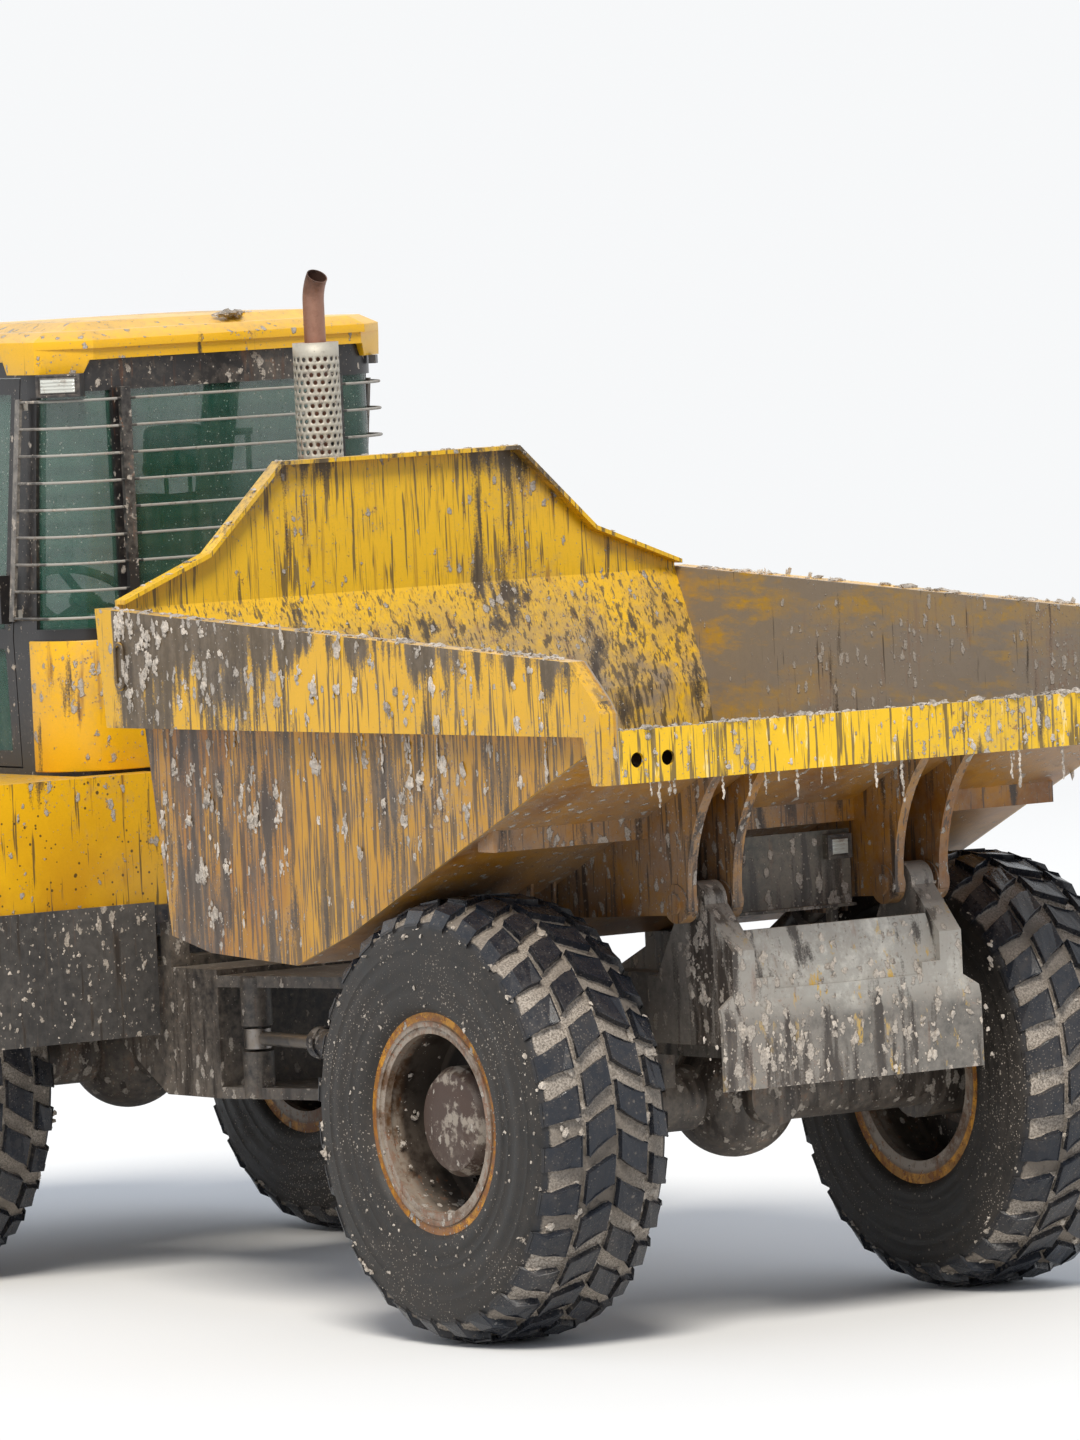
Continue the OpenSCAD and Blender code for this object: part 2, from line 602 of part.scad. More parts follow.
// Half of the roof over its sides and over its narrower ends
roof_side = cab_w / 2 + 25;
roof_end = cab_w / 2 - 130;
module roof_plan(inset) polygon([for (s = [-1, 1], i = [0 : 3]) let (
    p = [[1250 + inset, roof_end - inset / 2], [1395 + inset / 2, roof_side - inset],
        [2440 - inset, roof_side - inset], [2520 - inset, roof_end - 10 - inset]][s < 0 ? i : 3 - i])
    [fx(p[0]), -s * p[1]]]);
module cab_roof() color(yellow) {
    hull() {
        translate([0, 0, roof_z[0] + 40]) linear_extrude(28) roof_plan(0);
        translate([0, 0, roof_z[1] - 8]) linear_extrude(8) roof_plan(60);
    }
    translate([0, 0, roof_z[0]]) linear_extrude(41) roof_plan(14);
    hull() {
        translate([0, 0, roof_z[1] - 2]) linear_extrude(2) roof_plan(170);
        translate([0, 0, roof_z[1] + 22]) linear_extrude(6) roof_plan(230);
    }
    // Rear corners that drop over the work lamps
    both_sides() difference() {
        hull() {
            translate([0, 0, roof_z[0] + 30]) linear_extrude(20)
                polygon([[fx(1262), roof_end - 10], [fx(1395), roof_side], [fx(1620), roof_side],
                    [fx(1620), roof_side - 85], [fx(1330), roof_end - 30]]);
            translate([0, 0, roof_z[0] - lobe_drop]) linear_extrude(10)
                polygon([[fx(1290), roof_end + 20], [fx(1400), roof_side], [fx(1580), roof_side],
                    [fx(1580), roof_side - 20], [fx(1420), roof_side - 20], [fx(1310), roof_end + 10]]);
        }
        translate([0, 0, roof_z[0] - 100]) linear_extrude(100) cab_plan(-seat);
    }
}

module cab_windows() color(glass) {
    // Rear window
    block([fx(cab_rear_u) + 14, rear_window[0][0], rear_window[0][1]],
        [fx(cab_rear_u) + 14 + glass_t, rear_window[1][0], rear_window[1][1]]);
    // Curved corner windows
    both_sides() intersection() {
        translate([fx(cab_rear_u + cab_corner_r), cab_w / 2 - cab_corner_r, rear_window[0][1]])
            difference() {
            cylinder(r = cab_corner_r - 14, h = rear_window[1][1] - rear_window[0][1]);
            translate([0, 0, -1]) cylinder(r = cab_corner_r - 14 - glass_t, h = 2000);
        }
        corner_room();
    }
    // Windscreen, parallel to the front pillars
    k = (cab_front_belt_u - cab_front_top_u) / (cab_top_z - belt_z);
    z0 = belt_z;
    z1 = cab_top_z - 70;
    across([[fx(cab_front_belt_u) - 24, z0], [fx(cab_front_belt_u) - 16, z0],
        [fx(cab_front_belt_u) - 16 - k * (z1 - z0), z1], [fx(cab_front_belt_u) - 24 - k * (z1 - z0), z1]],
        -windscreen_half, windscreen_half);
    // Right window in the opening that has no door
    across(door_points(0), -cab_w / 2 + 14, -cab_w / 2 + 14 + glass_t);
}

// Posts and rods behind the rear and corner windows
guard_z = [rear_window[0][1] + 40, rear_window[1][1] - 30];
guard_out = 34;
module window_guard() color(black) {
    r = cab_corner_r + guard_out;
    both_sides() {
        // Posts stand on feet against the cab's wall
        y = rear_window_half + 25;
        x = fx(cab_rear_u) - guard_out;
        block([x - 6, y, guard_z[0] - 60], [x + 14, y + 40, guard_z[1] + 40]);
        for (z = [guard_z[0] - 60, guard_z[1] + 10])
            block([x + 13, y + 5, z], [fx(cab_rear_u) - (z < belt_z ? panel_t : 0) - seat, y + 35, z + 30]);
        // End strap beside the door pillar, leaning with it
        strap_z = [guard_z[0] - 10, guard_z[1] + 10];
        strap = [for (p = [[-60, 0], [-60, 1], [-30, 1], [-30, 0]])
            [fx(door_back(strap_z[p[1]]) + p[0]), strap_z[p[1]]]];
        across(strap, cab_w / 2 + guard_out - 6, cab_w / 2 + guard_out + 6);
        for (z = [guard_z[0], guard_z[1] - 30]) {
            foot_x = fx(door_back(z)) - 56;
            block([foot_x, cab_w / 2 + seat, z], [foot_x + 17, cab_w / 2 + guard_out - 5, z + 30]);
        }
    }
    for (i = [0 : guard_rods - 1]) {
        z = guard_z[0] + (guard_z[1] - guard_z[0]) * i / (guard_rods - 1);
        bar_y(fx(cab_rear_u) - guard_out, z, guard_rod_d, -cab_w / 2 + cab_corner_r,
            cab_w / 2 - cab_corner_r);
        both_sides() {
            translate([fx(cab_rear_u + cab_corner_r), cab_w / 2 - cab_corner_r, z]) rotate([0, 0, 90])
                rotate_extrude(angle = 90) translate([r, 0]) circle(d = guard_rod_d, $fn = 16);
            bar_x(fx(cab_rear_u + cab_corner_r), fx(door_back(z)) - 36, cab_w / 2 + guard_out, z,
                guard_rod_d);
        }
    }
}

// Seat: pedestal, cushion, back and headrest, plain inside the cab
module seat() color([0.15, 0.15, 0.17]) {
    x = fx(1640);
    z = cab_floor_z;
    block([x + 60, -180, z], [x + 460, 180, z + 260]);
    block([x + 20, -260, z + 260], [x + 560, 260, z + 400]);
    // Back, headrest and its stem
    across([[x + 20, z + 340], [x + 150, z + 340], [x + 40, z + 980], [x - 60, z + 980]], -240, 240);
    across([[x + 10, z + 1000], [x + 70, z + 1000], [x + 40, z + 1200], [x - 40, z + 1200]], -130, 130);
    across([[x + 5, z + 970], [x + 25, z + 970], [x + 20, z + 1010], [x, z + 1010]], -60, 60);
}

// Dashboard with the steering column and wheel
module dashboard() color([0.12, 0.12, 0.13]) {
    across([[fx(cab_front_belt_u) - 45, cab_floor_z], [fx(cab_front_belt_u) - 45, belt_z - 20],
        [fx(cab_front_belt_u) - 190, belt_z + 20], [fx(cab_front_belt_u) - 200, belt_z - 160],
        [fx(cab_front_belt_u) - 140, cab_floor_z]], -420, 420);
    translate([fx(cab_front_belt_u) - 215, 0, belt_z - 10]) rotate([0, -35, 0]) {
        translate([0, 0, -60]) cylinder(d = 60, h = 170);
        translate([0, 0, 110]) rotate_extrude() translate([200, 0]) circle(d = 32, $fn = 24);
        translate([0, 0, 95]) cylinder(d = 120, h = 25);
        for (a = [0, 120, 240]) rotate([0, 0, a]) translate([0, -16, 104]) cube([200, 32, 12]);
    }
}

mirror_x = fx(2640);
mirror_arm_z = 2900;
mirror_tube_d = 26;
module mirrors() color(black) both_sides() {
    y0 = cab_w / 2 + seat;
    // Foot on the front pillar, then a tube forward, out and down to the mirror's head
    block([fx(2350), y0, mirror_arm_z - 40], [fx(2405), y0 + 12, mirror_arm_z + 40]);
    bar_x(fx(2380), mirror_x + 10, y0 + 14, mirror_arm_z, mirror_tube_d - 2);
    bar_y(mirror_x, mirror_arm_z, mirror_tube_d, y0 + 2, 975);
    bar_z(mirror_x, 960, 2300, mirror_arm_z + 10, mirror_tube_d - 4);
    block([mirror_x - 45, 860, 2320], [mirror_x + 10, 1060, 2760]);
}

// Work lamp under the left rear corner of the roof, the bare bracket of the missing one on the
// right, and the headlamps above the bumper
lamp_z = roof_z[0] - lobe_drop - seat;
lamp_h = 80;
module lamps() color([0.85, 0.85, 0.8]) {
    // Both work lamps face outwards from the rounded corners
    translate([fx(cab_rear_u + cab_corner_r), cab_w / 2 - cab_corner_r, lamp_z - lamp_h])
        rotate([0, 0, 135])
        translate([cab_corner_r + 8, -80, 0]) cube([70, 160, lamp_h]);
    translate([fx(cab_rear_u + cab_corner_r), -cab_w / 2 + cab_corner_r, lamp_z - 30]) rotate([0, 0, -135])
        translate([cab_corner_r + 8, -20, 0]) cube([26, 40, 30]);
    both_sides() block([fx(front_end_u) - 140, 620, 1160], [fx(front_end_u) - 30, 860, 1330]);
}

/* Exhaust */
exhaust_u = 980;
exhaust_y = -180;
shield_z = [2840, 3250];
bend_r = 150;
module exhaust_pipe() color([0.4, 0.3, 0.25]) {
    x = fx(exhaust_u);
    bar_z(x, exhaust_y, 1090, 1110, 220);
    bar_z(x, exhaust_y, 1109, 2000, 190);
    translate([x, exhaust_y, 2000 - 1]) cylinder(d1 = 190, d2 = pipe_d, h = 80);
    tip = exhaust_top_z - 170;
    difference() {
        bar_z(x, exhaust_y, 2070, tip, pipe_d);
        bar_z(x, exhaust_y, tip - 200, tip + 1, pipe_d - 8);
    }
    // Curved mouth, turned back a little
    translate([x - bend_r, exhaust_y, tip]) rotate([-90, 0, 0]) mirror([0, 1, 0]) rotate_extrude(angle = 38)
        translate([bend_r, 0]) difference() {
            circle(d = pipe_d);
            circle(d = pipe_d - 8);
        }
    // Ring that carries the shield
    for (z = [shield_z[0], shield_z[1] - 12]) difference() {
        bar_z(x, exhaust_y, z, z + 12, shield_d - 6 - 2 * seat);
        bar_z(x, exhaust_y, z - 1, z + 13, pipe_d - 2);
    }
}
module exhaust_shield() color("lightgrey") difference() {
    bar_z(fx(exhaust_u), exhaust_y, shield_z[0], shield_z[1], shield_d);
    bar_z(fx(exhaust_u), exhaust_y, shield_z[0] - 1, shield_z[1] + 1, shield_d - 6);
}

/* Bed */
bed_pad_z = 1225;
rail_out = bed_w / 2;
side_out = rail_out - rail_w + plate_t;
side_in = rail_out - rail_w;
tail_back = rear_overhang;
// Underside of the floor from the front wall to the tail
floor_line = [[1580, 1300], [1345, 1250], [820, bed_pad_z], [500, 1335], [-tail_back + 20, 2030]];
function floor_at(x) = 1335 + (500 - x) * (2030 - 1335) / (500 + tail_back - 20);
// A rib's rear edge starts upright and turns until it runs into the floor's underside
rib_t = 36;
rib_gap = 73;
rib_x = -hinge_back - 65;
floor_rise = (floor_at(0) - floor_at(1000)) / 1000;
rib_turn = 90 - atan(floor_rise);
rib_r = (floor_at(rib_x) - hinge_z - 20) / (sin(rib_turn) - floor_rise * (1 - cos(rib_turn))) + 5;
module bed_floor() color(yellow) {
    tail_lip();
    across([[rx(1580), 1300], [rx(1345), 1250], [rx(820), bed_pad_z], [rx(500), 1335],
        [rx(-tail_back + 20), 2030], [rx(-tail_back + 20), 2030 + plate_t], [rx(500), 1335 + plate_t],
        [rx(820), bed_pad_z + plate_t], [rx(1345), 1250 + plate_t], [rx(1580), 1300 + plate_t]],
        -side_in, side_in);
    // Hinge ribs in two pairs, their rear edges curved up to the tail
    both_sides() for (y = [lug_y - rib_gap - rib_t, lug_y + rib_gap]) {
        across(concat([[rx(420), floor_at(420) + 2], [rx(250), floor_at(420) - 20],
            [rx(-hinge_back + 60), hinge_z - 40], [rx(-hinge_back), hinge_z - 62],
                [rx(rib_x), hinge_z - 25]],
            [for (a = [0 : 10]) let (t = rib_turn * a / 10)
                [rx(rib_x - rib_r * (1 - cos(t))), hinge_z + 20 + rib_r * sin(t)]]), y, y + rib_t);
        bar_y(rx(-hinge_back), hinge_z, 130, y - 6, y + rib_t + 6);
    }
    // Cross box under the floor
    across([[rx(-330), floor_at(-330) + 1], [rx(-330), floor_at(-330) - 70],
        [rx(-240), floor_at(-330) - 70],
        [rx(-240), floor_at(-240) + 1]], -side_in + 20, side_in - 20);
    // Hinge pins, fixed in the ribs
    pin_half = rib_gap + rib_t + 16;
    both_sides() bar_y(rx(-hinge_back), hinge_z, hinge_pin_d, lug_y - pin_half, lug_y + pin_half);
    // Ears for the rods of the tipping cylinders
    both_sides() for (y = [tip_y - 52, tip_y + 40])
        across([[rx(180), floor_at(180) + 2], [rx(200), tip_ear[1] - 45], [rx(300), tip_ear[1] - 45],
            [rx(360), floor_at(360) + 2]], y, y + 12);
}

rail_front = [[1841, 2005], [1881, 2410]];
module rail_profile() polygon([[rx(rail_front[0][0]), rail_front[0][1]],
    [rx(rail_front[1][0]), rail_front[1][1]],
    [rx(-935), 2265], [rx(-tail_back + 30), 2140],
    [rx(-tail_back), 2100], [rx(-tail_back), 1870], [rx(-tail_back + 60), 1870], [rx(-1000), 2025]]);
module bed_sides() color(yellow) both_sides() {
    // Side plate
    across([[rx(1690), 2006], [rx(1580), 1300], [rx(1345), 1250], [rx(820), bed_pad_z], [rx(500), 1335],
        [rx(-tail_back + 60), floor_at(-tail_back + 60)], [rx(-1000), 2026]], side_in, side_out);
    // Top rail with a pocket in its front end
    difference() {
        translate([0, rail_out, 0]) rotate([90, 0, 0]) linear_extrude(rail_w) rail_profile();
        block([rx(rail_front[0][0]), rail_out - rail_w / 2 - 10, 2110],
            [rx(rail_front[1][0]) + 1, rail_out - rail_w / 2 + 10, 2300]);
    }
}

module headboard() color(yellow) {
    t = plate_t;
    // Lower wall up to the rail, leaning forward, then the raised guard
    across([[rx(1580) - t, 1300 + t], [rx(1580), 1300 + t], [rx(1690), 2006], [rx(1860), 2400],
        [rx(1860) - t, 2404],
        [rx(1690) - t, 2008]], -side_in, side_in);
    translate([rx(1860) - t, 0, 0]) rotate([90, 0, 90]) linear_extrude(t)
        polygon([[-side_in, 2400], [side_in, 2400], [side_in, 2420], [800, 2560],
            [headboard_top_w / 2, 2856],
            [-headboard_top_w / 2, 2856], [-800, 2560], [-side_in, 2420]]);
    // Folded edge
    for (s = [0, 1]) mirror([0, s, 0]) translate([rx(1860) - 62, 0, 0]) rotate([90, 0, 90])
        linear_extrude(62)
        polygon([[0, 2856], [headboard_top_w / 2, 2856], [800, 2560], [side_in, 2420], [side_in, 2434],
            [806, 2573], [headboard_top_w / 2 + 5, 2870], [0, 2870]]);
}

lip_z = [1870, 2042];
lip_hole_y = [side_in - 190, side_in - 70];
lip_hole_d = 50;
lip_hole_z = 1945;
module tail_lip() difference() {
    t = plate_t;
    across([[rx(-tail_back), lip_z[0]], [rx(-tail_back), lip_z[1]], [rx(-tail_back + 20), lip_z[1]],
        [rx(-tail_back + 20), 2031], [rx(-tail_back + 210), floor_at(-tail_back + 210) + 1],
        [rx(-tail_back + 40), lip_z[0]]], -side_in, side_in);
    // Hollow behind the flange
    across([[rx(-tail_back) + t, lip_z[0] + t], [rx(-tail_back) + t, 2000], [rx(-tail_back + 60), 2000],
        [rx(-tail_back + 170), floor_at(-tail_back + 170) - t],
            [rx(-tail_back + 36), lip_z[0] + t]], -side_in, side_in);
    both_sides() for (y = lip_hole_y)
        translate([rx(-tail_back) - 1, y, lip_hole_z]) rotate([0, 90, 0])
            cylinder(d = lip_hole_d, h = t + 2);
}

board_z = [1350, 1606];
module lamp_board() color([0.25, 0.25, 0.26]) {
    x = rx(-340);
    block([x, -280, board_z[0]], [x + 14, 280, board_z[1]]);
    // Folded foot
    block([x - 26, -280, board_z[0]], [x + 1, 280, board_z[0] + 10]);
    both_sides() {
        block([x + 13, 200, beam_top_z], [x + 40, 230, 1500]);
        block([x + 13, 200, beam_top_z], [x + 40, beam_out - 10, beam_top_z + 12]);
        // A lamp in each upper corner
        block([x - 28, 170, board_z[1] - 95], [x + 1, 265, board_z[1] - 15]);
    }
}

front_frame();
front_axle();
engine();
grille();
front_bumper();
fenders();
mudflaps();
steps();
cab_frame();
cab_panels();
cab_roof();
cab_windows();
window_guard();
seat();
dashboard();
mirrors();
lamps();
exhaust_pipe();
exhaust_shield();
bonnet();
left_door();
left_door_glass();
hitch();
steering_barrel(1);  // steering_barrel_left
steering_barrel(-1);  // steering_barrel_right
steering_rod(1);  // steering_rod_left
steering_rod(-1);  // steering_rod_right
rear_frame();
rear_axle();
lamp_board();
bed_floor();
bed_sides();
headboard();
tipping_barrel(1);  // tipping_barrel_left
tipping_barrel(-1);  // tipping_barrel_right
tipping_rod(1);  // tipping_rod_left
tipping_rod(-1);  // tipping_rod_right
tyre(front_x, wheel_y);  // tyre_front_left
tyre(front_x, -wheel_y);  // tyre_front_right
tyre(rear_x, wheel_y);  // tyre_rear_left
tyre(rear_x, -wheel_y);  // tyre_rear_right
rim(front_x, wheel_y, 1);  // rim_front_left
rim(front_x, -wheel_y, -1);  // rim_front_right
rim(rear_x, wheel_y, 1);  // rim_rear_left
rim(rear_x, -wheel_y, -1);  // rim_rear_right
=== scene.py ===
import math
import random

import bmesh
import bpy
from mathutils import Matrix, Vector, noise


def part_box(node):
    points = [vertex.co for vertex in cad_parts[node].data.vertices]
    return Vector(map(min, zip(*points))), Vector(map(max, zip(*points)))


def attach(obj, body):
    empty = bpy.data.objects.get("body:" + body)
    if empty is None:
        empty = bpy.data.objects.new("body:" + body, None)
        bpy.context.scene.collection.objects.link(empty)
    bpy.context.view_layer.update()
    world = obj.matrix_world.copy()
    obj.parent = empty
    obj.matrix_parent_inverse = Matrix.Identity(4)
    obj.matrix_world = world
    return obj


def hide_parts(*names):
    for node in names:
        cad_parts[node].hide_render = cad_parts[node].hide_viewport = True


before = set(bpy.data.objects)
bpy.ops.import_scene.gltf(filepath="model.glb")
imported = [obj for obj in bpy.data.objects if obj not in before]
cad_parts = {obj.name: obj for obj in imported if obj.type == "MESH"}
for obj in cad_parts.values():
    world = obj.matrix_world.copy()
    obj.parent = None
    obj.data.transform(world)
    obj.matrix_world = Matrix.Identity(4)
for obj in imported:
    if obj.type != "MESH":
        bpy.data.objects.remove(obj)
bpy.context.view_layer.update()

# Camera
# The truck is seen from far off, behind and to its left, through a long lens held a little
# lower than the cab and leaning a few degrees.
eye = Vector((-34.47, 22.82, 4.12))
pan, dip, lean = math.radians(34.4), math.radians(3.06), math.radians(2.7)
SENSOR_MM, PICTURE_WIDE, FOCAL_PIXELS = 36, 1080, 11900
ahead = Vector((math.cos(pan) * math.cos(dip), -math.sin(pan) * math.cos(dip), -math.sin(dip)))
right = ahead.cross(Vector((0, 0, 1))).normalized()
up = right.cross(ahead)
right, up = right * math.cos(lean) - up * math.sin(lean), right * math.sin(lean) + up * math.cos(lean)

lens = bpy.data.cameras.new("long_lens")
lens.sensor_fit = "HORIZONTAL"
lens.sensor_width = SENSOR_MM
lens.lens = FOCAL_PIXELS / PICTURE_WIDE * SENSOR_MM
lens.clip_end = 400
camera = bpy.data.objects.new("long_lens", lens)
camera.matrix_world = Matrix((
    (right.x, up.x, -ahead.x, eye.x),
    (right.y, up.y, -ahead.y, eye.y),
    (right.z, up.z, -ahead.z, eye.z),
    (0, 0, 0, 1),
))
bpy.context.scene.collection.objects.link(camera)
bpy.context.scene.camera = camera
bpy.context.scene.view_settings.view_transform = "Standard"


# Floor and light
# A pale floor that runs out to a white surround, a broad warm lamp from behind on the left
# and a weak one from the front, so that every side of the truck can be read.
class Value:
    """A socket in a node tree, so that shader maths reads as plain expressions."""

    def __init__(self, owner, socket):
        self.owner, self.socket = owner, socket

    def maths(self, operation, first, second=None, clamp=False):
        inputs = {0: first} if second is None else {0: first, 1: second}
        return self.owner.node("Math", {"operation": operation, "use_clamp": clamp}, inputs)

    def __add__(self, other):
        return self.maths("ADD", self, other)

    def __sub__(self, other):
        return self.maths("SUBTRACT", self, other)

    def __mul__(self, other):
        return self.maths("MULTIPLY", self, other)

    def __rsub__(self, other):
        return self.maths("SUBTRACT", other, self)

    def __abs__(self):
        return self.maths("ABSOLUTE", self)

    __radd__, __rmul__ = __add__, __mul__

    def least(self, other):
        return self.maths("MINIMUM", self, other)

    def most(self, other):
        return self.maths("MAXIMUM", self, other)

    def rise(self, low, high):
        """0 at low, 1 at high and a straight ramp between; high may be under low."""
        return self.maths("DIVIDE", self - low, high - low, clamp=True)

    def past(self, start, width):
        """0 up to start, which may be a mask of its own, and 1 from width further on."""
        return self.maths("DIVIDE", self - start, width, clamp=True)


class Tree:
    """A node tree while it is put together."""

    def __init__(self, tree):
        self.tree = tree
        tree.nodes.clear()

    def node(self, kind, settings=None, inputs=None, out=0):
        made = self.tree.nodes.new("ShaderNode" + kind)
        for key, value in (settings or {}).items():
            if key == "stops":
                while len(made.color_ramp.elements) < len(value):
                    made.color_ramp.elements.new(0.5)
                for stop, (place, colour) in zip(made.color_ramp.elements, value):
                    stop.position, stop.color = place, (*colour, 1)
            else:
                setattr(made, key, value)
        for key, value in (inputs or {}).items():
            socket = made.inputs[key]
            if isinstance(value, Value):
                self.tree.links.new(value.socket, socket)
            elif hasattr(value, "__len__") and socket.type == "RGBA":
                socket.default_value = (*value, 1)
            else:
                socket.default_value = value
        return Value(self, made.outputs[out]) if made.outputs else None


class Finish(Tree):
    """A material while it is put together."""

    def __init__(self, name):
        self.material = bpy.data.materials.new(name)
        self.material.use_nodes = True
        super().__init__(self.material.node_tree)
        self.place = self.node("TexCoord", out="Object")

    def spots(self, scale, detail=4, rough=0.55, stretch=(1, 1, 1), shift=(0, 0, 0)):
        """Soft noise around 0.5; stretch below 1 draws it out along that axis."""
        place = self.node("Mapping", None, {"Vector": self.place, "Location": shift, "Scale": stretch})
        return self.node("TexNoise", None,
                         {"Vector": place, "Scale": scale, "Detail": detail, "Roughness": rough})

    def cells(self, scale, stretch=(1, 1, 1), shift=(0, 0, 0)):
        """Distance from the nearest of many scattered points, in parts of their spacing."""
        place = self.node("Mapping", None, {"Vector": self.place, "Location": shift, "Scale": stretch})
        return self.node("TexVoronoi", {"feature": "F1"}, {"Vector": place, "Scale": scale}, out="Distance")

    def axis(self, letter):
        return self.node("SeparateXYZ", None, {"Vector": self.place}, out=letter.upper())

    def slope(self):
        """1 on a face that looks up, 0 on a wall, -1 on one that looks down."""
        facing = self.node("TexCoord", out="Normal")
        return self.node("SeparateXYZ", None, {"Vector": facing}, out="Z")

    def lay(self, under, over, amount):
        """One colour laid over another."""
        return self.node("Mix", {"data_type": "RGBA"}, {"Factor": amount, 6: under, 7: over}, out=2)

    def surface(self, colour, rough, metal=0.0, height=None, depth=0.004, **fixed):
        """The surface shader; height in 0..1 raises the bump by depth metres."""
        inputs = {"Base Color": colour, "Roughness": rough, "Metallic": metal}
        if height is not None:
            inputs["Normal"] = self.node("Bump", None,
                                         {"Strength": 1.0, "Distance": depth, "Height": height})
        inputs.update({key.replace("_", " "): value for key, value in fixed.items()})
        shader = self.node("BsdfPrincipled", None, inputs)
        self.node("OutputMaterial", None, {"Surface": shader})
        return self.material


def stand(name, mesh, *materials):
    """Turns a bmesh that is finished in the truck's own frame into an object."""
    data = bpy.data.meshes.new(name)
    mesh.to_mesh(data)
    mesh.free()
    piece = bpy.data.objects.new(name, data)
    bpy.context.scene.collection.objects.link(piece)
    for material in materials:
        data.materials.append(material)
    return piece


SURROUND = (0.93, 0.94, 0.95)
FLOOR_REACH, FADE_START, FADE_END = 150, 9, 26
ground = bmesh.new()
bmesh.ops.create_grid(ground, x_segments=1, y_segments=1, size=FLOOR_REACH)
pale = Finish("pale_floor")
distance = pale.node("VectorMath", {"operation": "LENGTH"}, {0: pale.place}, out="Value")
far = distance.rise(FADE_START, FADE_END)
matt = pale.node("BsdfPrincipled", None, {"Base Color": (0.80, 0.80, 0.79), "Roughness": 0.9})
white = pale.node("Emission", None, {"Color": SURROUND, "Strength": 1.0})
pale.node("OutputMaterial", None, {"Surface": pale.node("MixShader", None, {0: far, 1: matt, 2: white})})
stand("floor", ground, pale.material)

world = bpy.data.worlds.new("surround")
bpy.context.scene.world = world
world.use_nodes = True
sky = Tree(world.node_tree)
seen = sky.node("LightPath", out="Is Camera Ray").most(sky.node("LightPath", out="Is Glossy Ray")).most(
    sky.node("LightPath", out="Is Transmission Ray"))
dim = sky.node("Background", None, {"Color": (0.80, 0.87, 1.0), "Strength": 0.62})
bright = sky.node("Background", None, {"Color": SURROUND, "Strength": 1.0})
sky.node("OutputWorld", None, {"Surface": sky.node("MixShader", None, {0: seen, 1: dim, 2: bright})})

SUNS = (("key", 3.1, 22, (1.0, 0.95, 0.87), (0.50, -0.42, -0.76)),
        ("fill", 0.5, 60, (0.85, 0.92, 1.0), (-0.75, 0.25, -0.6)))
for name, power, spread, hue, aim in SUNS:
    lamp = bpy.data.lights.new(name, "SUN")
    lamp.energy = power
    lamp.angle = math.radians(spread)
    lamp.color = hue
    light = bpy.data.objects.new(name, lamp)
    light.rotation_mode = "QUATERNION"
    light.rotation_quaternion = Vector(aim).to_track_quat("-Z", "Y")
    bpy.context.scene.collection.objects.link(light)

# Rear frame
# Two welded steel beams with a cast bearing housing and the bent tail plate, all grey under
# a thick crust of clay; the plate is dusted pale and scraped to old yellow and bright steel.
CLAY_DRY = (0.46, 0.405, 0.345)
CLAY_WET = (0.075, 0.065, 0.058)
CLAY_FILM = (0.27, 0.225, 0.18)
RUST = (0.20, 0.062, 0.012)
AGED_PAINT = (0.05, 0.03, 0.012)
WET_BROWN = (0.120, 0.092, 0.070)
WET_BLACK = (0.030, 0.024, 0.020)
# The tail plate: its face up to the bend, the height of the bend, and how it leans above it
PLATE_X, PLATE_BEND_Z, PLATE_LEAN = -2.8815, 1.04, 0.263


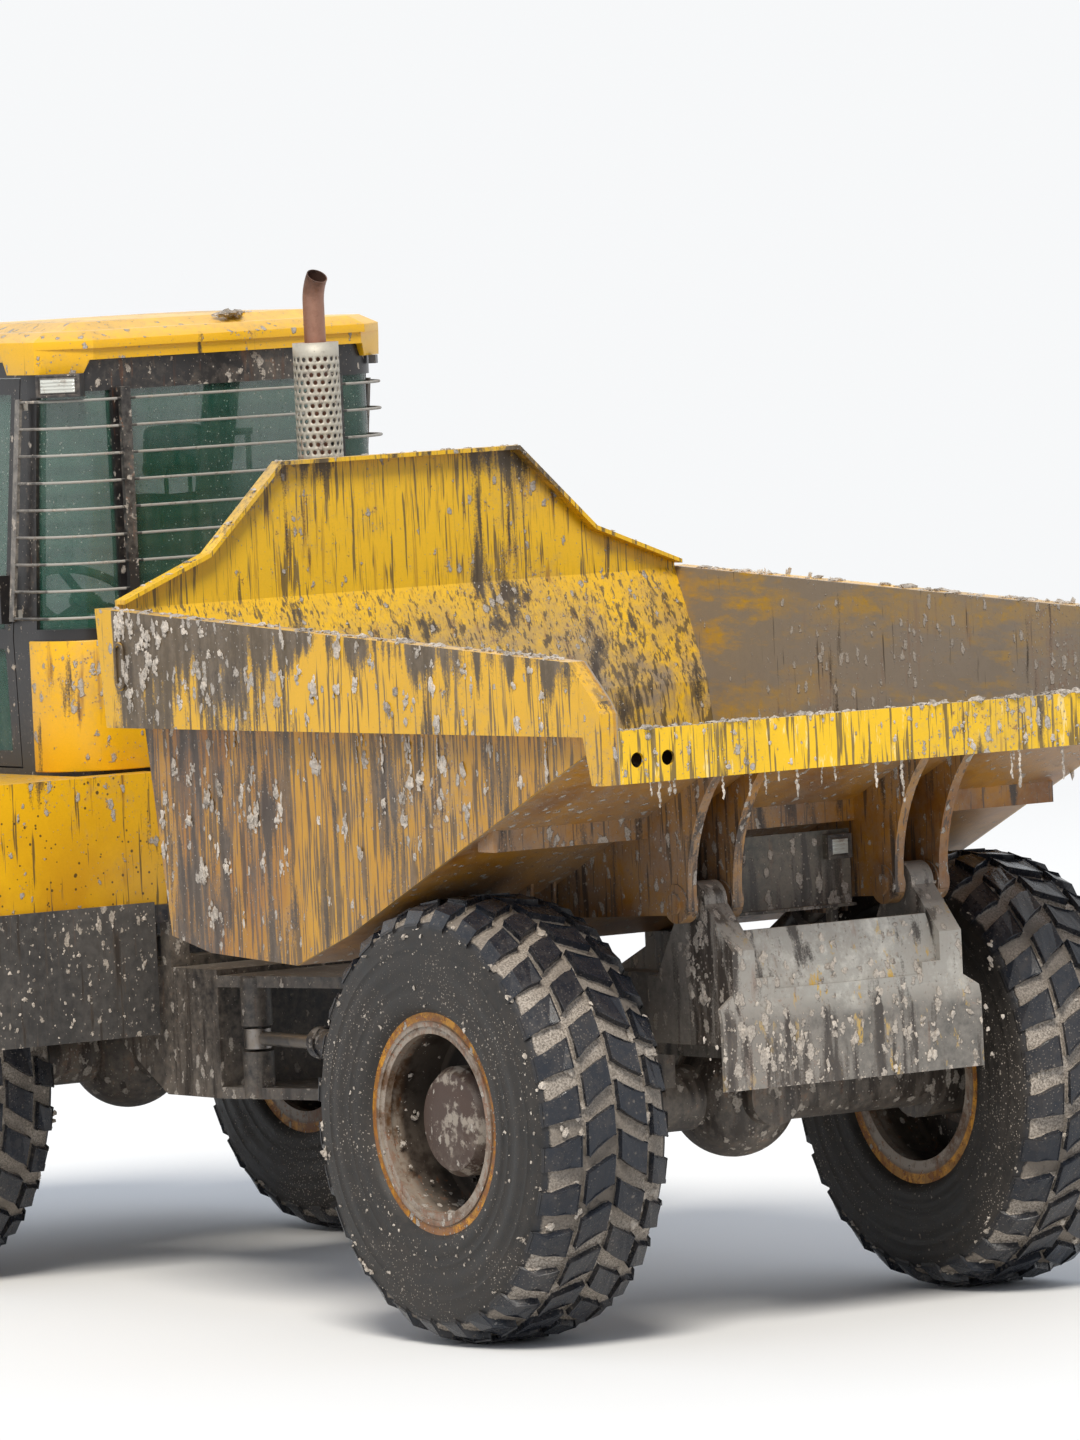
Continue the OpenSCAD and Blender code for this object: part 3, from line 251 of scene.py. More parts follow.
def soiled(finish, paint, gloss, metal=0.0, film=0.25, runs=0.4, rain=0.0, splash=0.3, rust=0.15, foot=None,
           seed=0.0, veil=CLAY_FILM):
    """Lays film, runs, rust and splashes over a paint, and returns the finished material.
    film, runs, rain (the finest runs), splash and rust are how much of the surface each
    covers, from 0 to 1, and each may be a mask; foot is the height under which dirt thickens."""
    off = (seed, seed * 1.7, seed * 0.6)
    level = finish.slope()
    up = level.rise(0.35, 0.9)
    steep = abs(level).rise(0.9, 0.6)
    cloud = finish.spots(1.6, 3, 0.6, shift=off)
    grain = finish.spots(34, 3, 0.65, shift=off)
    fine = finish.spots(140, 2, 0.7, shift=off)
    flow = finish.spots(9, 3, 0.62, stretch=(1, 1, 0.10), shift=off)
    drip = finish.spots(26, 3, 0.6, stretch=(1, 1, 0.11), shift=(off[1], off[2], off[0]))
    more = cloud.rise(0.35, 0.68)
    if foot is not None:
        more = more.most(finish.axis("z").rise(foot, foot - 0.55))
    colour = finish.lay(paint, AGED_PAINT, cloud.rise(0.3, 0.75) * 0.16 + fine.rise(0.4, 0.7) * 0.05)
    bite = (grain * 0.55 + fine * 0.25 + cloud * 0.2 + more * 0.05).past(0.66 - rust * 0.22, 0.04)
    weep = (drip * 0.6 + cloud * 0.4).past(0.60 - rust * 0.16, 0.08) * steep
    rusty = bite.most(weep * 0.75)
    colour = finish.lay(colour, RUST, rusty * 0.85)
    thin = (grain * 0.5 + cloud * 0.5 + more * 0.12 + up * 0.14).past(0.62 - film * 0.40, 0.24)
    thin = thin * (0.35 + film * 0.5)
    colour = finish.lay(colour, veil, thin)
    wet = (flow * 0.52 + drip * 0.36 + fine * 0.12 + more * 0.10).past(0.66 - runs * 0.20, 0.06) * steep
    if not isinstance(rain, float) or rain > 0:
        thread = finish.spots(70, 2, 0.62, stretch=(1, 1, 0.045), shift=off)
        fresh = (thread * 0.62 + drip * 0.26 + flow * 0.12).past(0.60 - rain * 0.17, 0.035) * steep
        wet = wet.most(fresh * 0.85)
    smear = finish.lay(CLAY_WET, WET_BROWN, fine.rise(0.35, 0.65))
    smear = finish.lay(smear, WET_BLACK, (drip * 0.7 + grain * 0.3).rise(0.42, 0.56) * 0.85)
    colour = finish.lay(colour, smear, wet * 0.93)
    large = finish.cells(21.0, stretch=(1, 1, 0.5), shift=off)
    small = finish.cells(62.0, stretch=(1, 1, 0.8))
    spot = (0.36 - large + (grain - 0.5) * 0.9 + (cloud - 0.5) * 0.55 + more * 0.08 + up * 0.05).past(
        0.30 - splash * 0.34, 0.05)
    speck = (0.30 - small + (cloud - 0.5) * 0.5 + (grain - 0.5) * 0.35).past(0.20 - splash * 0.16, 0.04)
    clod = spot.most(speck)
    dry = finish.lay(tuple(c * 0.55 for c in CLAY_DRY), CLAY_DRY, fine.rise(0.35, 0.6))
    colour = finish.lay(colour, dry, clod)
    rough = gloss + thin * (0.85 - gloss) * 0.6
    rough = rough * (1 - wet) + wet * 0.42
    rough = rough * (1 - clod) + clod * 0.92
    rough = rough * (1 - rusty * 0.5) + rusty * 0.42
    height = fine * 0.05 + grain * 0.07 + clod * 0.62
    shine = metal if metal == 0 else (1 - clod.most(wet).most(rusty * 0.7)) * metal
    return finish.surface(colour, rough, shine, height, 0.006)


def dress(material, *names):
    """Gives CAD nodes their material."""
    for name in names:
        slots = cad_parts[name].data.materials
        slots.clear()
        slots.append(material)


chassis = Finish("crusted_steel")
plate = (chassis.axis("x") - (chassis.axis("z") - PLATE_BEND_Z).most(0.0) * PLATE_LEAN).rise(-2.858, -2.866)
scrape = chassis.spots(16, 6, 0.7, stretch=(1, 1.0, 0.35), shift=(5, 2, 1))
upper = chassis.axis("z").rise(1.02, 1.10) * plate
steel_grey = chassis.lay((0.10, 0.095, 0.085), (0.40, 0.385, 0.345), upper * 0.9)
steel_grey = chassis.lay(steel_grey, (0.55, 0.33, 0.02), scrape.rise(0.60, 0.64) * plate)
pale_crust = chassis.spots(5, 6, 0.75, shift=(1, 7, 3)).rise(0.52, 0.66)
steel_grey = chassis.lay(steel_grey, (0.62, 0.60, 0.54), pale_crust * upper)
crusted = soiled(chassis, steel_grey, 0.5, film=0.75 - plate * 0.20, runs=0.55 - upper * 0.25,
                 splash=0.55 - upper * 0.2, rust=0.18, foot=1.1, seed=3.1, veil=(0.30, 0.27, 0.235))
dress(crusted, "rear_frame", "hitch")

# Axles
# Cast iron drive housings with their tubes, bolted under the two frames: never painted over
# since new, black with oil and caked with clay.
axle_iron = soiled(Finish("axle_iron"), (0.050, 0.046, 0.043), 0.55, film=0.50, runs=0.6, splash=0.42,
                   rust=0.28, foot=0.9, seed=7.3)
dress(axle_iron, "rear_axle", "front_axle")

# Lamp board
# A dark pressed plate above the tail plate with a folded foot, carrying a red lamp and a
# clear one, each a moulded lens in a black bezel.
board_black = soiled(Finish("board_black"), (0.030, 0.040, 0.034), 0.42, film=0.55, runs=0.5, splash=0.42,
                     rust=0.1, seed=3.3)
dress(board_black, "lamp_board")


def lens_glass(name, tone, dirt):
    """Ribbed moulded glass with dried mud on it."""
    finish = Finish(name)
    rib = finish.node("TexWave", {"wave_type": "BANDS", "bands_direction": "Z"},
                      {"Vector": finish.place, "Scale": 26.0, "Distortion": 0.0})
    cloud = finish.spots(22, 4, 0.6)
    mud = (cloud * 0.6 + finish.spots(90, 3, 0.6) * 0.4).past(0.60 - dirt * 0.2, 0.10)
    colour = finish.lay(tone, CLAY_FILM, mud * 0.8)
    return finish.surface(colour, 0.10 + mud * 0.7, 0.0, rib * 0.6 + mud * 0.5, 0.003, Coat_Weight=0.6,
                          Coat_Roughness=0.05)


bezel = soiled(Finish("lamp_bezel"), (0.020, 0.020, 0.022), 0.45, film=0.3, runs=0.05, splash=0.25,
               rust=0.0, seed=1.1)
BEZEL_WALL, BEZEL_DEPTH, BEZEL_SUNK = 0.006, 0.006, 0.001
# Each step inwards from the bezel to the crown of the lens: how wide it is and how it rises
LENS_STEPS = ((0.007, 0.0), (0.002, -0.003), (0.010, 0.004), (0.012, 0.0015))


def ease(mesh, edges, radius, segments=2):
    """Rounds some edges of a bmesh."""
    bmesh.ops.bevel(mesh, geom=edges, offset=radius, offset_type="OFFSET", segments=segments, profile=0.5,
                    affect="EDGES", material=-1, clamp_overlap=True)


def lamp_face(name, place, facing, wide, high, glass, body):
    """A crowned lens in a bezel, its back on place and looking along facing."""
    facing = Vector(facing).normalized()
    across = Vector((0, 0, 1)).cross(facing)
    mesh = bmesh.new()
    bmesh.ops.create_cube(mesh, size=1)
    front = max(mesh.faces, key=lambda face: face.calc_center_median().z)
    bmesh.ops.inset_region(mesh, faces=[front], thickness=BEZEL_WALL / max(wide, high), depth=0)
    for vert in mesh.verts:
        vert.co = Vector((vert.co.x * wide, vert.co.y * high, (vert.co.z + 0.5) * BEZEL_DEPTH - BEZEL_SUNK))
    for thickness, depth in LENS_STEPS:
        bmesh.ops.inset_region(mesh, faces=[front], thickness=thickness, depth=depth)
    inner = {face for edge in front.edges for face in edge.link_faces}
    for face in inner | {front}:
        face.material_index = 1
    ease(mesh, [edge for edge in mesh.edges if edge.calc_face_angle(0) > 1.2], 0.0012)
    turn = Matrix((across, Vector((0, 0, 1)), facing)).transposed().to_4x4()
    bmesh.ops.transform(mesh, matrix=Matrix.Translation(place) @ turn, verts=mesh.verts[:])
    piece = stand(name, mesh, bezel, glass)
    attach(piece, body)


red_glass = lens_glass("red_lens", (0.30, 0.012, 0.012), 0.5)
clear_glass = lens_glass("clear_lens", (0.46, 0.47, 0.43), 0.5)
for name, y, glass in (("tail_lamp_red", 0.2175, red_glass), ("tail_lamp_clear", -0.2175, clear_glass)):
    lamp_face(name, (-2.5432, y, 1.551), (-1, 0, 0), 0.098, 0.082, glass, "rear_chassis")

# Bed
# Welded yellow plate: side plates under box rails, a ribbed floor rising to the tail and the
# folded lip across it. Years of loads have run over the edge: the sides are streaked from top
# to bottom, the side plates under the rails and the undersides are painted a darker orange brown
# as shade and partly stained, the inside is scoured, and only the lip stays bright.
RAIL_FACE_Y, PLATE_FACE_Y, LIP_FACE_X = 1.2305, 1.1722, -3.2755


def rail_top(x):
    """The height of a rail's top edge at x, which may be a shader value."""
    return 2.265 + (x + 3.11) * 0.0515


side = Finish("bed_side_paint")
width = abs(side.axis("y"))
under_edge = rail_top(side.axis("x")) - side.axis("z")
fore = side.axis("x").rise(-1.75, -0.75)
outside = width.rise(1.163, 1.169)
rail = width.rise(1.176, 1.180)
plate_low = outside * (1 - rail)
stain = side.spots(4.5, 5, 0.62, stretch=(1, 1, 0.25), shift=(4, 1, 2))
# The plate under the rail is painted a darker orange than the rail, as the shade under the rail.
paint_and_shade = side.lay((0.74, 0.40, 0.008), (0.55, 0.27, 0.008), plate_low * 0.8)
# Brown streaks on that plate, heavier towards the front: partly stain, partly painted shade.
browned_and_shaded = (plate_low * (0.35 + fore * 0.80) * stain.rise(0.32, 0.60) * 1.1).least(1.0)
paint_and_shade = side.lay(paint_and_shade, (0.33, 0.130, 0.010), browned_and_shaded)
edge_wet = (under_edge.rise(0.16, 0.02) + under_edge.rise(0.30, 0.05) * fore * 0.8) * rail
clean_end = 1 - side.axis("x").rise(-0.405, -0.385) * 0.85
paint_left = side.spots(6, 6, 0.7, stretch=(0.25, 1, 1)).rise(0.48, 0.60)
scoured = side.lay((0.24, 0.20, 0.16), (0.50, 0.28, 0.02), paint_left)
paint_and_shade = side.lay(scoured, paint_and_shade, outside)
side_paint = soiled(side, paint_and_shade, 0.34, film=0.18 + plate_low * 0.06 + (1 - outside) * 0.45,
                    runs=((0.34 + fore * 0.38 + edge_wet * 0.60) * outside + 0.06) * clean_end,
                    rain=outside * (0.46 + plate_low * 0.20 + fore * 0.06) * clean_end - 0.05,
                    splash=0.14 + fore * 0.16 * outside, rust=0.14 + plate_low * 0.08, seed=1.9)
dress(side_paint, "bed_sides")

floor_plate = Finish("bed_floor_paint")
lip = floor_plate.axis("x").rise(-3.258, -3.266)
above = floor_plate.slope().rise(0.2, 0.5)
drag = floor_plate.spots(9, 6, 0.72, stretch=(0.16, 1, 1), shift=(3, 3, 8))
worn = floor_plate.lay((0.17, 0.14, 0.115), (0.33, 0.30, 0.26), drag.rise(0.42, 0.60))
# Faces that don't look up, under the floor and on its ribs, are painted a darker orange brown in patches as
# shade.
shaded_belly = floor_plate.lay((0.42, 0.185, 0.012), (0.22, 0.085, 0.014),
                        floor_plate.spots(3, 5, 0.6).rise(0.42, 0.62))
plates = floor_plate.lay(shaded_belly, worn, above)
scratch = floor_plate.spots(48, 4, 0.7, stretch=(1, 0.5, 0.10), shift=(9, 2, 5))
bright_lip = floor_plate.lay((0.83, 0.50, 0.006), (0.93, 0.72, 0.30), scratch.rise(0.60, 0.66) * 0.8)
plates = floor_plate.lay(plates, bright_lip, lip)
floor_paint = soiled(floor_plate, plates, 0.36, film=0.42 - lip * 0.34, runs=0.38 - lip * 0.20,
                     rain=0.35 + lip * 0.10, splash=0.26 - lip * 0.02, rust=0.26 - lip * 0.16, seed=8.4)
dress(floor_paint, "bed_floor")

# Lashing loops
# A ring of round bar, flattened to a long loop and welded upright to the outer face of each
# rail near its front end, in the rail's own paint.
LOOP_BAR, LOOP_BEND, LOOP_HALF, LOOP_STEPS = 0.0065, 0.024, 0.052, 24
for side_name, hand in (("left", 1), ("right", -1)):
    loop = bmesh.new()
    bar = bmesh.ops.create_circle(loop, segments=10, radius=LOOP_BAR)["verts"]
    bmesh.ops.translate(loop, vec=(LOOP_BEND, 0, 0), verts=bar)
    bmesh.ops.rotate(loop, cent=(0, 0, 0), matrix=Matrix.Rotation(math.pi / LOOP_STEPS, 3, "Y"), verts=bar)
    bmesh.ops.spin(loop, geom=loop.verts[:] + loop.edges[:], cent=(0, 0, 0), axis=(0, 1, 0), angle=math.tau,
                   steps=LOOP_STEPS, use_merge=True, use_duplicate=False)
    bmesh.ops.remove_doubles(loop, verts=loop.verts[:], dist=1e-5)
    bmesh.ops.recalc_face_normals(loop, faces=loop.faces[:])
    for vert in loop.verts:
        vert.co.z += math.copysign(LOOP_HALF, vert.co.z)
    for face in loop.faces:
        face.smooth = True
    bmesh.ops.translate(loop, vec=(-0.440, hand * (RAIL_FACE_Y + LOOP_BAR * 0.6), 2.215),
                        verts=loop.verts[:])
    ring = stand(f"lashing_loop_{side_name}", loop, side_paint)
    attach(ring, "bed")

# Headboard
# One leaning yellow plate with a folded edge, the brightest part of the bed: finely scratched
# by tumbling loads, with grey clay smeared down from its edge.
head = Finish("headboard_paint")
hair = head.spots(85, 4, 0.65, stretch=(1, 1, 0.05), shift=(2, 6, 3))
tone = head.lay((0.86, 0.50, 0.006), (0.50, 0.27, 0.012), hair.rise(0.54, 0.62) * 0.75)
low_wall = head.axis("z").rise(2.42, 2.05)
tone = head.lay(tone, (0.26, 0.20, 0.14), low_wall * head.spots(5, 6, 0.7).rise(0.40, 0.62))
crown = (head.axis("z") + abs(head.axis("y")) * 0.36 - 2.83).rise(0.06, 0.16) * 0.55
head_paint = soiled(head, tone, 0.32, film=0.10 + low_wall * 0.35 + crown * 0.5,
                    runs=0.18 + low_wall * 0.2 + crown, rain=0.30 + low_wall * 0.2,
                    splash=0.10 + crown * 0.3, rust=0.14, seed=4.4)
dress(head_paint, "headboard")

# Clay on the bed
# Lumps that dropped off the loads and stuck where they landed: along the rails, under the
# lip and down the side plates, each drawn out a little before it dried.
ROUNDER_FROM = 0.013  # crumbs above this size are made from the finer ball
PRESSED, LIFTED = 0.45, 0.10  # flattened by this part, and stood off the wall by this part


def clods(name, body, patches, seed, material):
    """Crumbs of clay: each patch is a place on a wall, the way that wall faces, the largest
    crumb's size in metres, how far it is drawn out downwards, and the number of crumbs."""
    rng = random.Random(seed)
    heap = bmesh.new()
    balls = []
    for level in (1, 2):
        ball = bmesh.new()
        bmesh.ops.create_icosphere(ball, subdivisions=level, radius=1)
        balls.append(([vert.co.copy() for vert in ball.verts],
                      [[vert.index for vert in face.verts] for face in ball.faces]))
        ball.free()
    for place, facing, size, drawn, count in patches:
        place, facing = Vector(place), Vector(facing).normalized()
        along = facing.orthogonal().normalized()
        across = facing.cross(along)
        if abs(facing.z) < 0.7:
            along, across = Vector((0, 0, 1)), Vector((0, 0, 1)).cross(facing).normalized()
        for crumb in range(count):
            part = size * (1.0 if crumb == 0 else rng.uniform(0.25, 0.7))
            reach = 0.0 if crumb == 0 else size * rng.uniform(0.6, 1.9)
            turn = rng.uniform(0, math.tau)
            spot = place + across * math.cos(turn) * reach + along * math.sin(turn) * reach * drawn
            shift = Vector((rng.uniform(0, 90), rng.uniform(0, 90), rng.uniform(0, 90)))
            wide = Vector((rng.uniform(0.7, 1.3), rng.uniform(0.7, 1.3), rng.uniform(0.8, 1.2) * drawn))
            wide *= part
            points, faces = balls[1 if part > ROUNDER_FROM else 0]
            lump = []
            for co in points:
                bulge = 1 + 0.9 * noise.noise(co * 2.1 + shift)
                point = Vector((co.x * wide.x, co.y * wide.y, co.z * wide.z)) * bulge
                point -= facing * point.dot(facing) * PRESSED
                lump.append(heap.verts.new(spot + point + facing * part * LIFTED))
            for face in faces:
                heap.faces.new([lump[index] for index in face])
    piece = stand(name, heap, material)
    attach(piece, body)


lump = Finish("clay_lumps")
wetness = lump.spots(7, 4, 0.6)
crumb = lump.spots(95, 4, 0.7)
clay_tone = lump.lay((0.20, 0.17, 0.14), (0.62, 0.55, 0.47),
                     (wetness * 0.55 + crumb * 0.45).rise(0.38, 0.58))
clay = lump.surface(clay_tone, 0.62 + crumb * 0.35, 0.0, crumb, 0.006)
rng = random.Random(71)
bed_lumps = []


def plate_foot(x):
    """The height of a side plate's lower edge at x."""
    return max(1.30, 1.335 + 0.437 * (-x - 1.675))


def head_top(y):
    """The height of the headboard's top edge at y: level, then steep, then shallow."""
    reach = abs(y)
    if reach >= 0.806:
        return 2.573 - (reach - 0.806) * 0.393
    if reach >= 0.5:
        return 2.870 - (reach - 0.505) * 0.987
    return 2.870


def hang(x, y, z, facing, sway):
    """A string of small lumps that hangs from an edge, each a little aside along sway."""
    size = rng.uniform(0.004, 0.008)
    for step in range(rng.randint(3, 8)):
        aside = rng.uniform(-0.003, 0.003)
        bed_lumps.append(((x + sway[0] * aside, y + sway[1] * aside, z - step * size * 2.6), facing,
                          size * rng.uniform(0.6, 1.1), 2.0, 1))


for hand in (1, -1):
    for _ in range(75):
        x = -0.42 - 2.6 * rng.random() ** 1.5
        z = max(rail_top(x) - 0.02 - 0.30 * rng.random() ** 1.6, 2.06)
        bed_lumps.append(((x, hand * RAIL_FACE_Y, z), (0, hand, 0), rng.uniform(0.006, 0.016),
                          rng.uniform(1.1, 1.9), rng.randint(2, 12)))
    for _ in range(75):
        x = -0.55 - 2.2 * rng.random() ** 1.3
        z = rng.uniform(min(plate_foot(x) + 0.06, 1.93), 1.97)
        bed_lumps.append(((x, hand * PLATE_FACE_Y, z), (0, hand, 0), rng.uniform(0.004, 0.015),
                          rng.uniform(1.2, 2.6), rng.randint(1, 12)))
    for _ in range(70):
        x = rng.uniform(-3.05, -0.36)
        bed_lumps.append(((x, hand * rng.uniform(1.18, 1.215), rail_top(x)), (0, 0, 1),
                          rng.uniform(0.006, 0.018), 1.0, rng.randint(3, 9)))
    for _ in range(12):
        hang(rng.uniform(-2.9, -0.5), hand * 1.1735, 1.995, (0, hand, 0), sway=(1, 0))
for _ in range(60):
    bed_lumps.append(((LIP_FACE_X, rng.uniform(-1.13, 1.13), rng.uniform(1.885, 2.03)), (-1, 0, 0),
                      rng.uniform(0.003, 0.009), rng.uniform(1.0, 2.0), rng.randint(1, 5)))
for _ in range(80):
    bed_lumps.append(((rng.uniform(-3.27, -3.24), rng.uniform(-1.14, 1.14), 2.043), (0, 0, 1),
                      rng.uniform(0.006, 0.018), 1.0, rng.randint(3, 9)))
for _ in range(20):
    hang(-3.264, rng.uniform(-1.12, 1.12), 1.870, (-1, 0, 0), sway=(0, 1))
for _ in range(40):
    y = rng.uniform(-1.1, 1.1)
    bed_lumps.append(((rng.uniform(-0.365, -0.325), y, head_top(y)), (0, 0, 1),
                      rng.uniform(0.004, 0.012), 1.0, rng.randint(2, 6)))
clods("bed_clay", "bed", bed_lumps, 5, clay)

# Cylinders
# Hard-chromed rods in wet black barrels, their black given a faint blue as a painted sheen;
# the two that tip the bed and the two that steer are the same make of thing.
barrel_black = soiled(Finish("barrel_black"), (0.03, 0.033, 0.042), 0.25, film=0.3, runs=0.3, splash=0.3,
                      rust=0.05, seed=5.7)
chrome = soiled(Finish("chrome"), (0.30, 0.30, 0.31), 0.22, metal=1.0, film=0.75, runs=0.10, splash=0.30,
                rust=0.05, seed=6.6)
for side_name in ("left", "right"):
    dress(barrel_black, f"steering_barrel_{side_name}", f"tipping_barrel_{side_name}")
    dress(chrome, f"steering_rod_{side_name}", f"tipping_rod_{side_name}")

# Front frame
# Black welded steel: beams and fork plates, with the bumper, grille and ladders bolted on and
# the engine between the beams, all dusted grey and spattered low down.
frame_black = soiled(Finish("frame_black"), (0.022, 0.022, 0.024), 0.4, film=0.45, runs=0.4, splash=0.30,
                     rust=0.12, foot=1.2, seed=3.9)
dress(frame_black, "front_frame", "grille", "front_bumper", "steps", "engine")

# Fenders and mudflaps
# Pressed yellow sheet over the front wheels with a blue-black rubber strip along the rear
# edge, and a grey rubber flap bolted under it.
wing = Finish("fender_paint")
strip = wing.axis("z").rise(1.318, 1.312)
# The yellow is painted a darker orange towards the bottom, in patches, as shade below the lit top.
low_shade = wing.axis("z").rise(1.75, 1.35) * wing.spots(3, 4, 0.6).rise(0.35, 0.6)
wing_tone = wing.lay((0.80, 0.44, 0.008), (0.62, 0.30, 0.010), low_shade)
wing_tone = wing.lay(wing_tone, (0.022, 0.027, 0.040), strip)
dark_spot = wing.cells(34, shift=(1, 5, 2))
peppered = (0.26 - dark_spot + (wing.spots(6, 3, 0.5) - 0.5) * 0.5).rise(0.10, 0.15)
wing_tone = wing.lay(wing_tone, (0.05, 0.035, 0.02), peppered * 0.9)
wing_paint = soiled(wing, wing_tone, 0.3, film=0.12 + strip * 0.2, runs=0.12, rain=0.05, splash=0.22,
                    rust=0.12, foot=1.35, seed=5.2)
flap_rubber = soiled(Finish("flap_rubber"), (0.040, 0.039, 0.039), 0.7, film=0.45, runs=0.20, rain=0.1,
                     splash=0.32, rust=0.0, seed=4.9, veil=(0.13, 0.12, 0.11))
dress(flap_rubber, "mudflaps")


def eased(name, radius, segments, material, body, sharp=0.5):
    """A copy of a node with its edges rounded, which takes the node's place."""
    mesh = bmesh.new()
    mesh.from_mesh(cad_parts[name].data)
    bmesh.ops.remove_doubles(mesh, verts=mesh.verts[:], dist=1e-5)
    bmesh.ops.dissolve_limit(mesh, angle_limit=0.02, verts=mesh.verts[:], edges=mesh.edges[:],
                             delimit={"NORMAL"})
    corners = [edge for edge in mesh.edges if len(edge.link_faces) == 2 and edge.calc_face_angle(0) > sharp]
    ease(mesh, corners, radius, segments)
    bmesh.ops.triangulate(mesh, faces=[face for face in mesh.faces if len(face.verts) > 4])
    piece = stand("eased_" + name, mesh, material)
    piece.data.shade_smooth()
    piece.data.set_sharp_from_angle(angle=0.6)
    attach(piece, body)
    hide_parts(name)


eased("fenders", 0.004, 2, wing_paint, "front_chassis")

# Cab
# A black welded cage with moulded yellow panels and roof, green tinted glass and a guard of
# thin rods between black posts behind it.
cab_black = soiled(Finish("cab_black"), (0.016, 0.016, 0.018), 0.34, film=0.12, runs=0.1, splash=0.16,
                   rust=0.03, seed=2.6)
dress(cab_black, "cab_frame", "left_door", "mirrors")
moulding = soiled(Finish("moulding"), (0.87, 0.47, 0.005), 0.36, film=0.05, runs=0.0, splash=0.08, rust=0.0,
                  seed=6.1)
eased("cab_roof", 0.014, 3, moulding, "front_chassis", sharp=0.25)
eased("cab_panels", 0.004, 2, moulding, "front_chassis")
eased("bonnet", 0.006, 3, moulding, "bonnet")


def tinted(name, dirt):
    """Green tinted glass behind a film of dust and specks of mud."""
    finish = Finish(name)
    cloud = finish.spots(2.2, 4, 0.6)
    grain = finish.spots(45, 4, 0.6)
    runs = finish.spots(18, 4, 0.6, stretch=(1, 1, 0.12))
    dust = (cloud * 0.4 + grain * 0.25 + runs * 0.35).rise(0.50 - dirt * 0.15, 0.80 - dirt * 0.15)
    speck = (0.30 - finish.cells(48.0) + (cloud - 0.5) * 0.35).rise(0.22 - dirt * 0.1, 0.26 - dirt * 0.1)
    haze = (dust * 0.30).most(speck * 0.8)
    colour = finish.lay((0.022, 0.105, 0.072), (0.36, 0.36, 0.32), haze)
    return finish.surface(colour, 0.05 + haze * 0.7, Alpha=0.44 + haze * 0.54)


green_glass = tinted("green_glass", 0.5)
dress(green_glass, "cab_windows", "left_door_glass")

guard = Finish("guard_steel")
beam = abs(guard.axis("y"))
post = beam.rise(0.402, 0.405) * beam.rise(0.482, 0.479) * guard.axis("x").rise(0.722, 0.720)
strap = beam.rise(0.716, 0.719)
bars = guard.lay((0.34, 0.335, 0.31), (0.018, 0.018, 0.020), post.most(strap))
guard_steel = soiled(guard, bars, 0.4, film=0.55 - post * 0.40, runs=0.05, splash=0.34 - post * 0.1,
                     rust=0.16, seed=8.8, veil=(0.36, 0.33, 0.29))
dress(guard_steel, "window_guard")

dash_plastic = soiled(Finish("dash_plastic"), (0.02, 0.021, 0.023), 0.55, film=0.25, runs=0.0, splash=0.02,
                      rust=0.0, seed=9.4)
dress(dash_plastic, "dashboard")

# Seat
# A suspension seat: a bellows pedestal, and a cushion, back and headrest of foam under
# stretched dark cloth, sewn with two channels down the middle.
SEAT_X = 1.065
PEDESTAL_X = SEAT_X + 0.26
BELLOWS_FOOT, BELLOWS_HIGH, FOLDS, FOLD_OUT = 1.83, 0.178, 6, 1.10
CLOTH_FRAMES = 12


def as_it_looks(piece):
    """The mesh that a piece's modifiers make of it."""
    return bpy.data.meshes.new_from_object(piece.evaluated_get(bpy.context.evaluated_depsgraph_get()))


def padded(name, corners, half, shrink, swell):
    """A foam pad: the side outline of corners (x from SEAT_X, z), reaching half to each side,
    rounded, remeshed and blown up by cloth until its cover is tight."""
    corners = [(SEAT_X + x, z) for x, z in corners]
    mesh = bmesh.new()
    middle = sum((Vector(corner) for corner in corners), Vector((0, 0))) / len(corners)
    ring = [mesh.verts.new((middle.x + (x - middle.x) * shrink, -half * shrink,
                            middle.y + (z - middle.y) * shrink)) for x, z in corners]
    face = mesh.faces.new(ring)
    side_wall = bmesh.ops.extrude_face_region(mesh, geom=[face])["geom"]
    moved = [item for item in side_wall if isinstance(item, bmesh.types.BMVert)]
    bmesh.ops.translate(mesh, verts=moved, vec=(0, 2 * half * shrink, 0))
    bmesh.ops.recalc_face_normals(mesh, faces=mesh.faces[:])
    ease(mesh, mesh.edges[:], 0.028, 4)
    pad = stand(name, mesh, seat_cloth)
    shell = pad.modifiers.new("shell", "REMESH")
    shell.mode, shell.voxel_size = "VOXEL", 0.009
    bpy.context.view_layer.update()
    rest = as_it_looks(pad)
    pad.modifiers.clear()
    pad.data = rest
    start = [vert.co.copy() for vert in rest.vertices]
    cloth = pad.modifiers.new("cover", "CLOTH")
    cloth.settings.use_pressure = True
    cloth.settings.uniform_pressure_force = 4
    cloth.settings.effector_weights.gravity = 0
    for step in range(1, CLOTH_FRAMES + 1):
        bpy.context.scene.frame_set(step)
    blown = as_it_looks(pad)
    pad.modifiers.clear()
    for vert, origin in zip(blown.vertices, start):
        shift = vert.co - origin
        if shift.length > swell:
            vert.co = origin + shift * (swell / shift.length)
    pad.data = blown
    bpy.context.scene.frame_set(1)
    pad.data.materials.clear()
    pad.data.materials.append(seat_cloth)
    pad.data.shade_smooth()
    tight = pad.modifiers.new("cover", "SUBSURF")
    tight.levels = tight.render_levels = 1
    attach(pad, "front_chassis")
    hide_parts("seat")


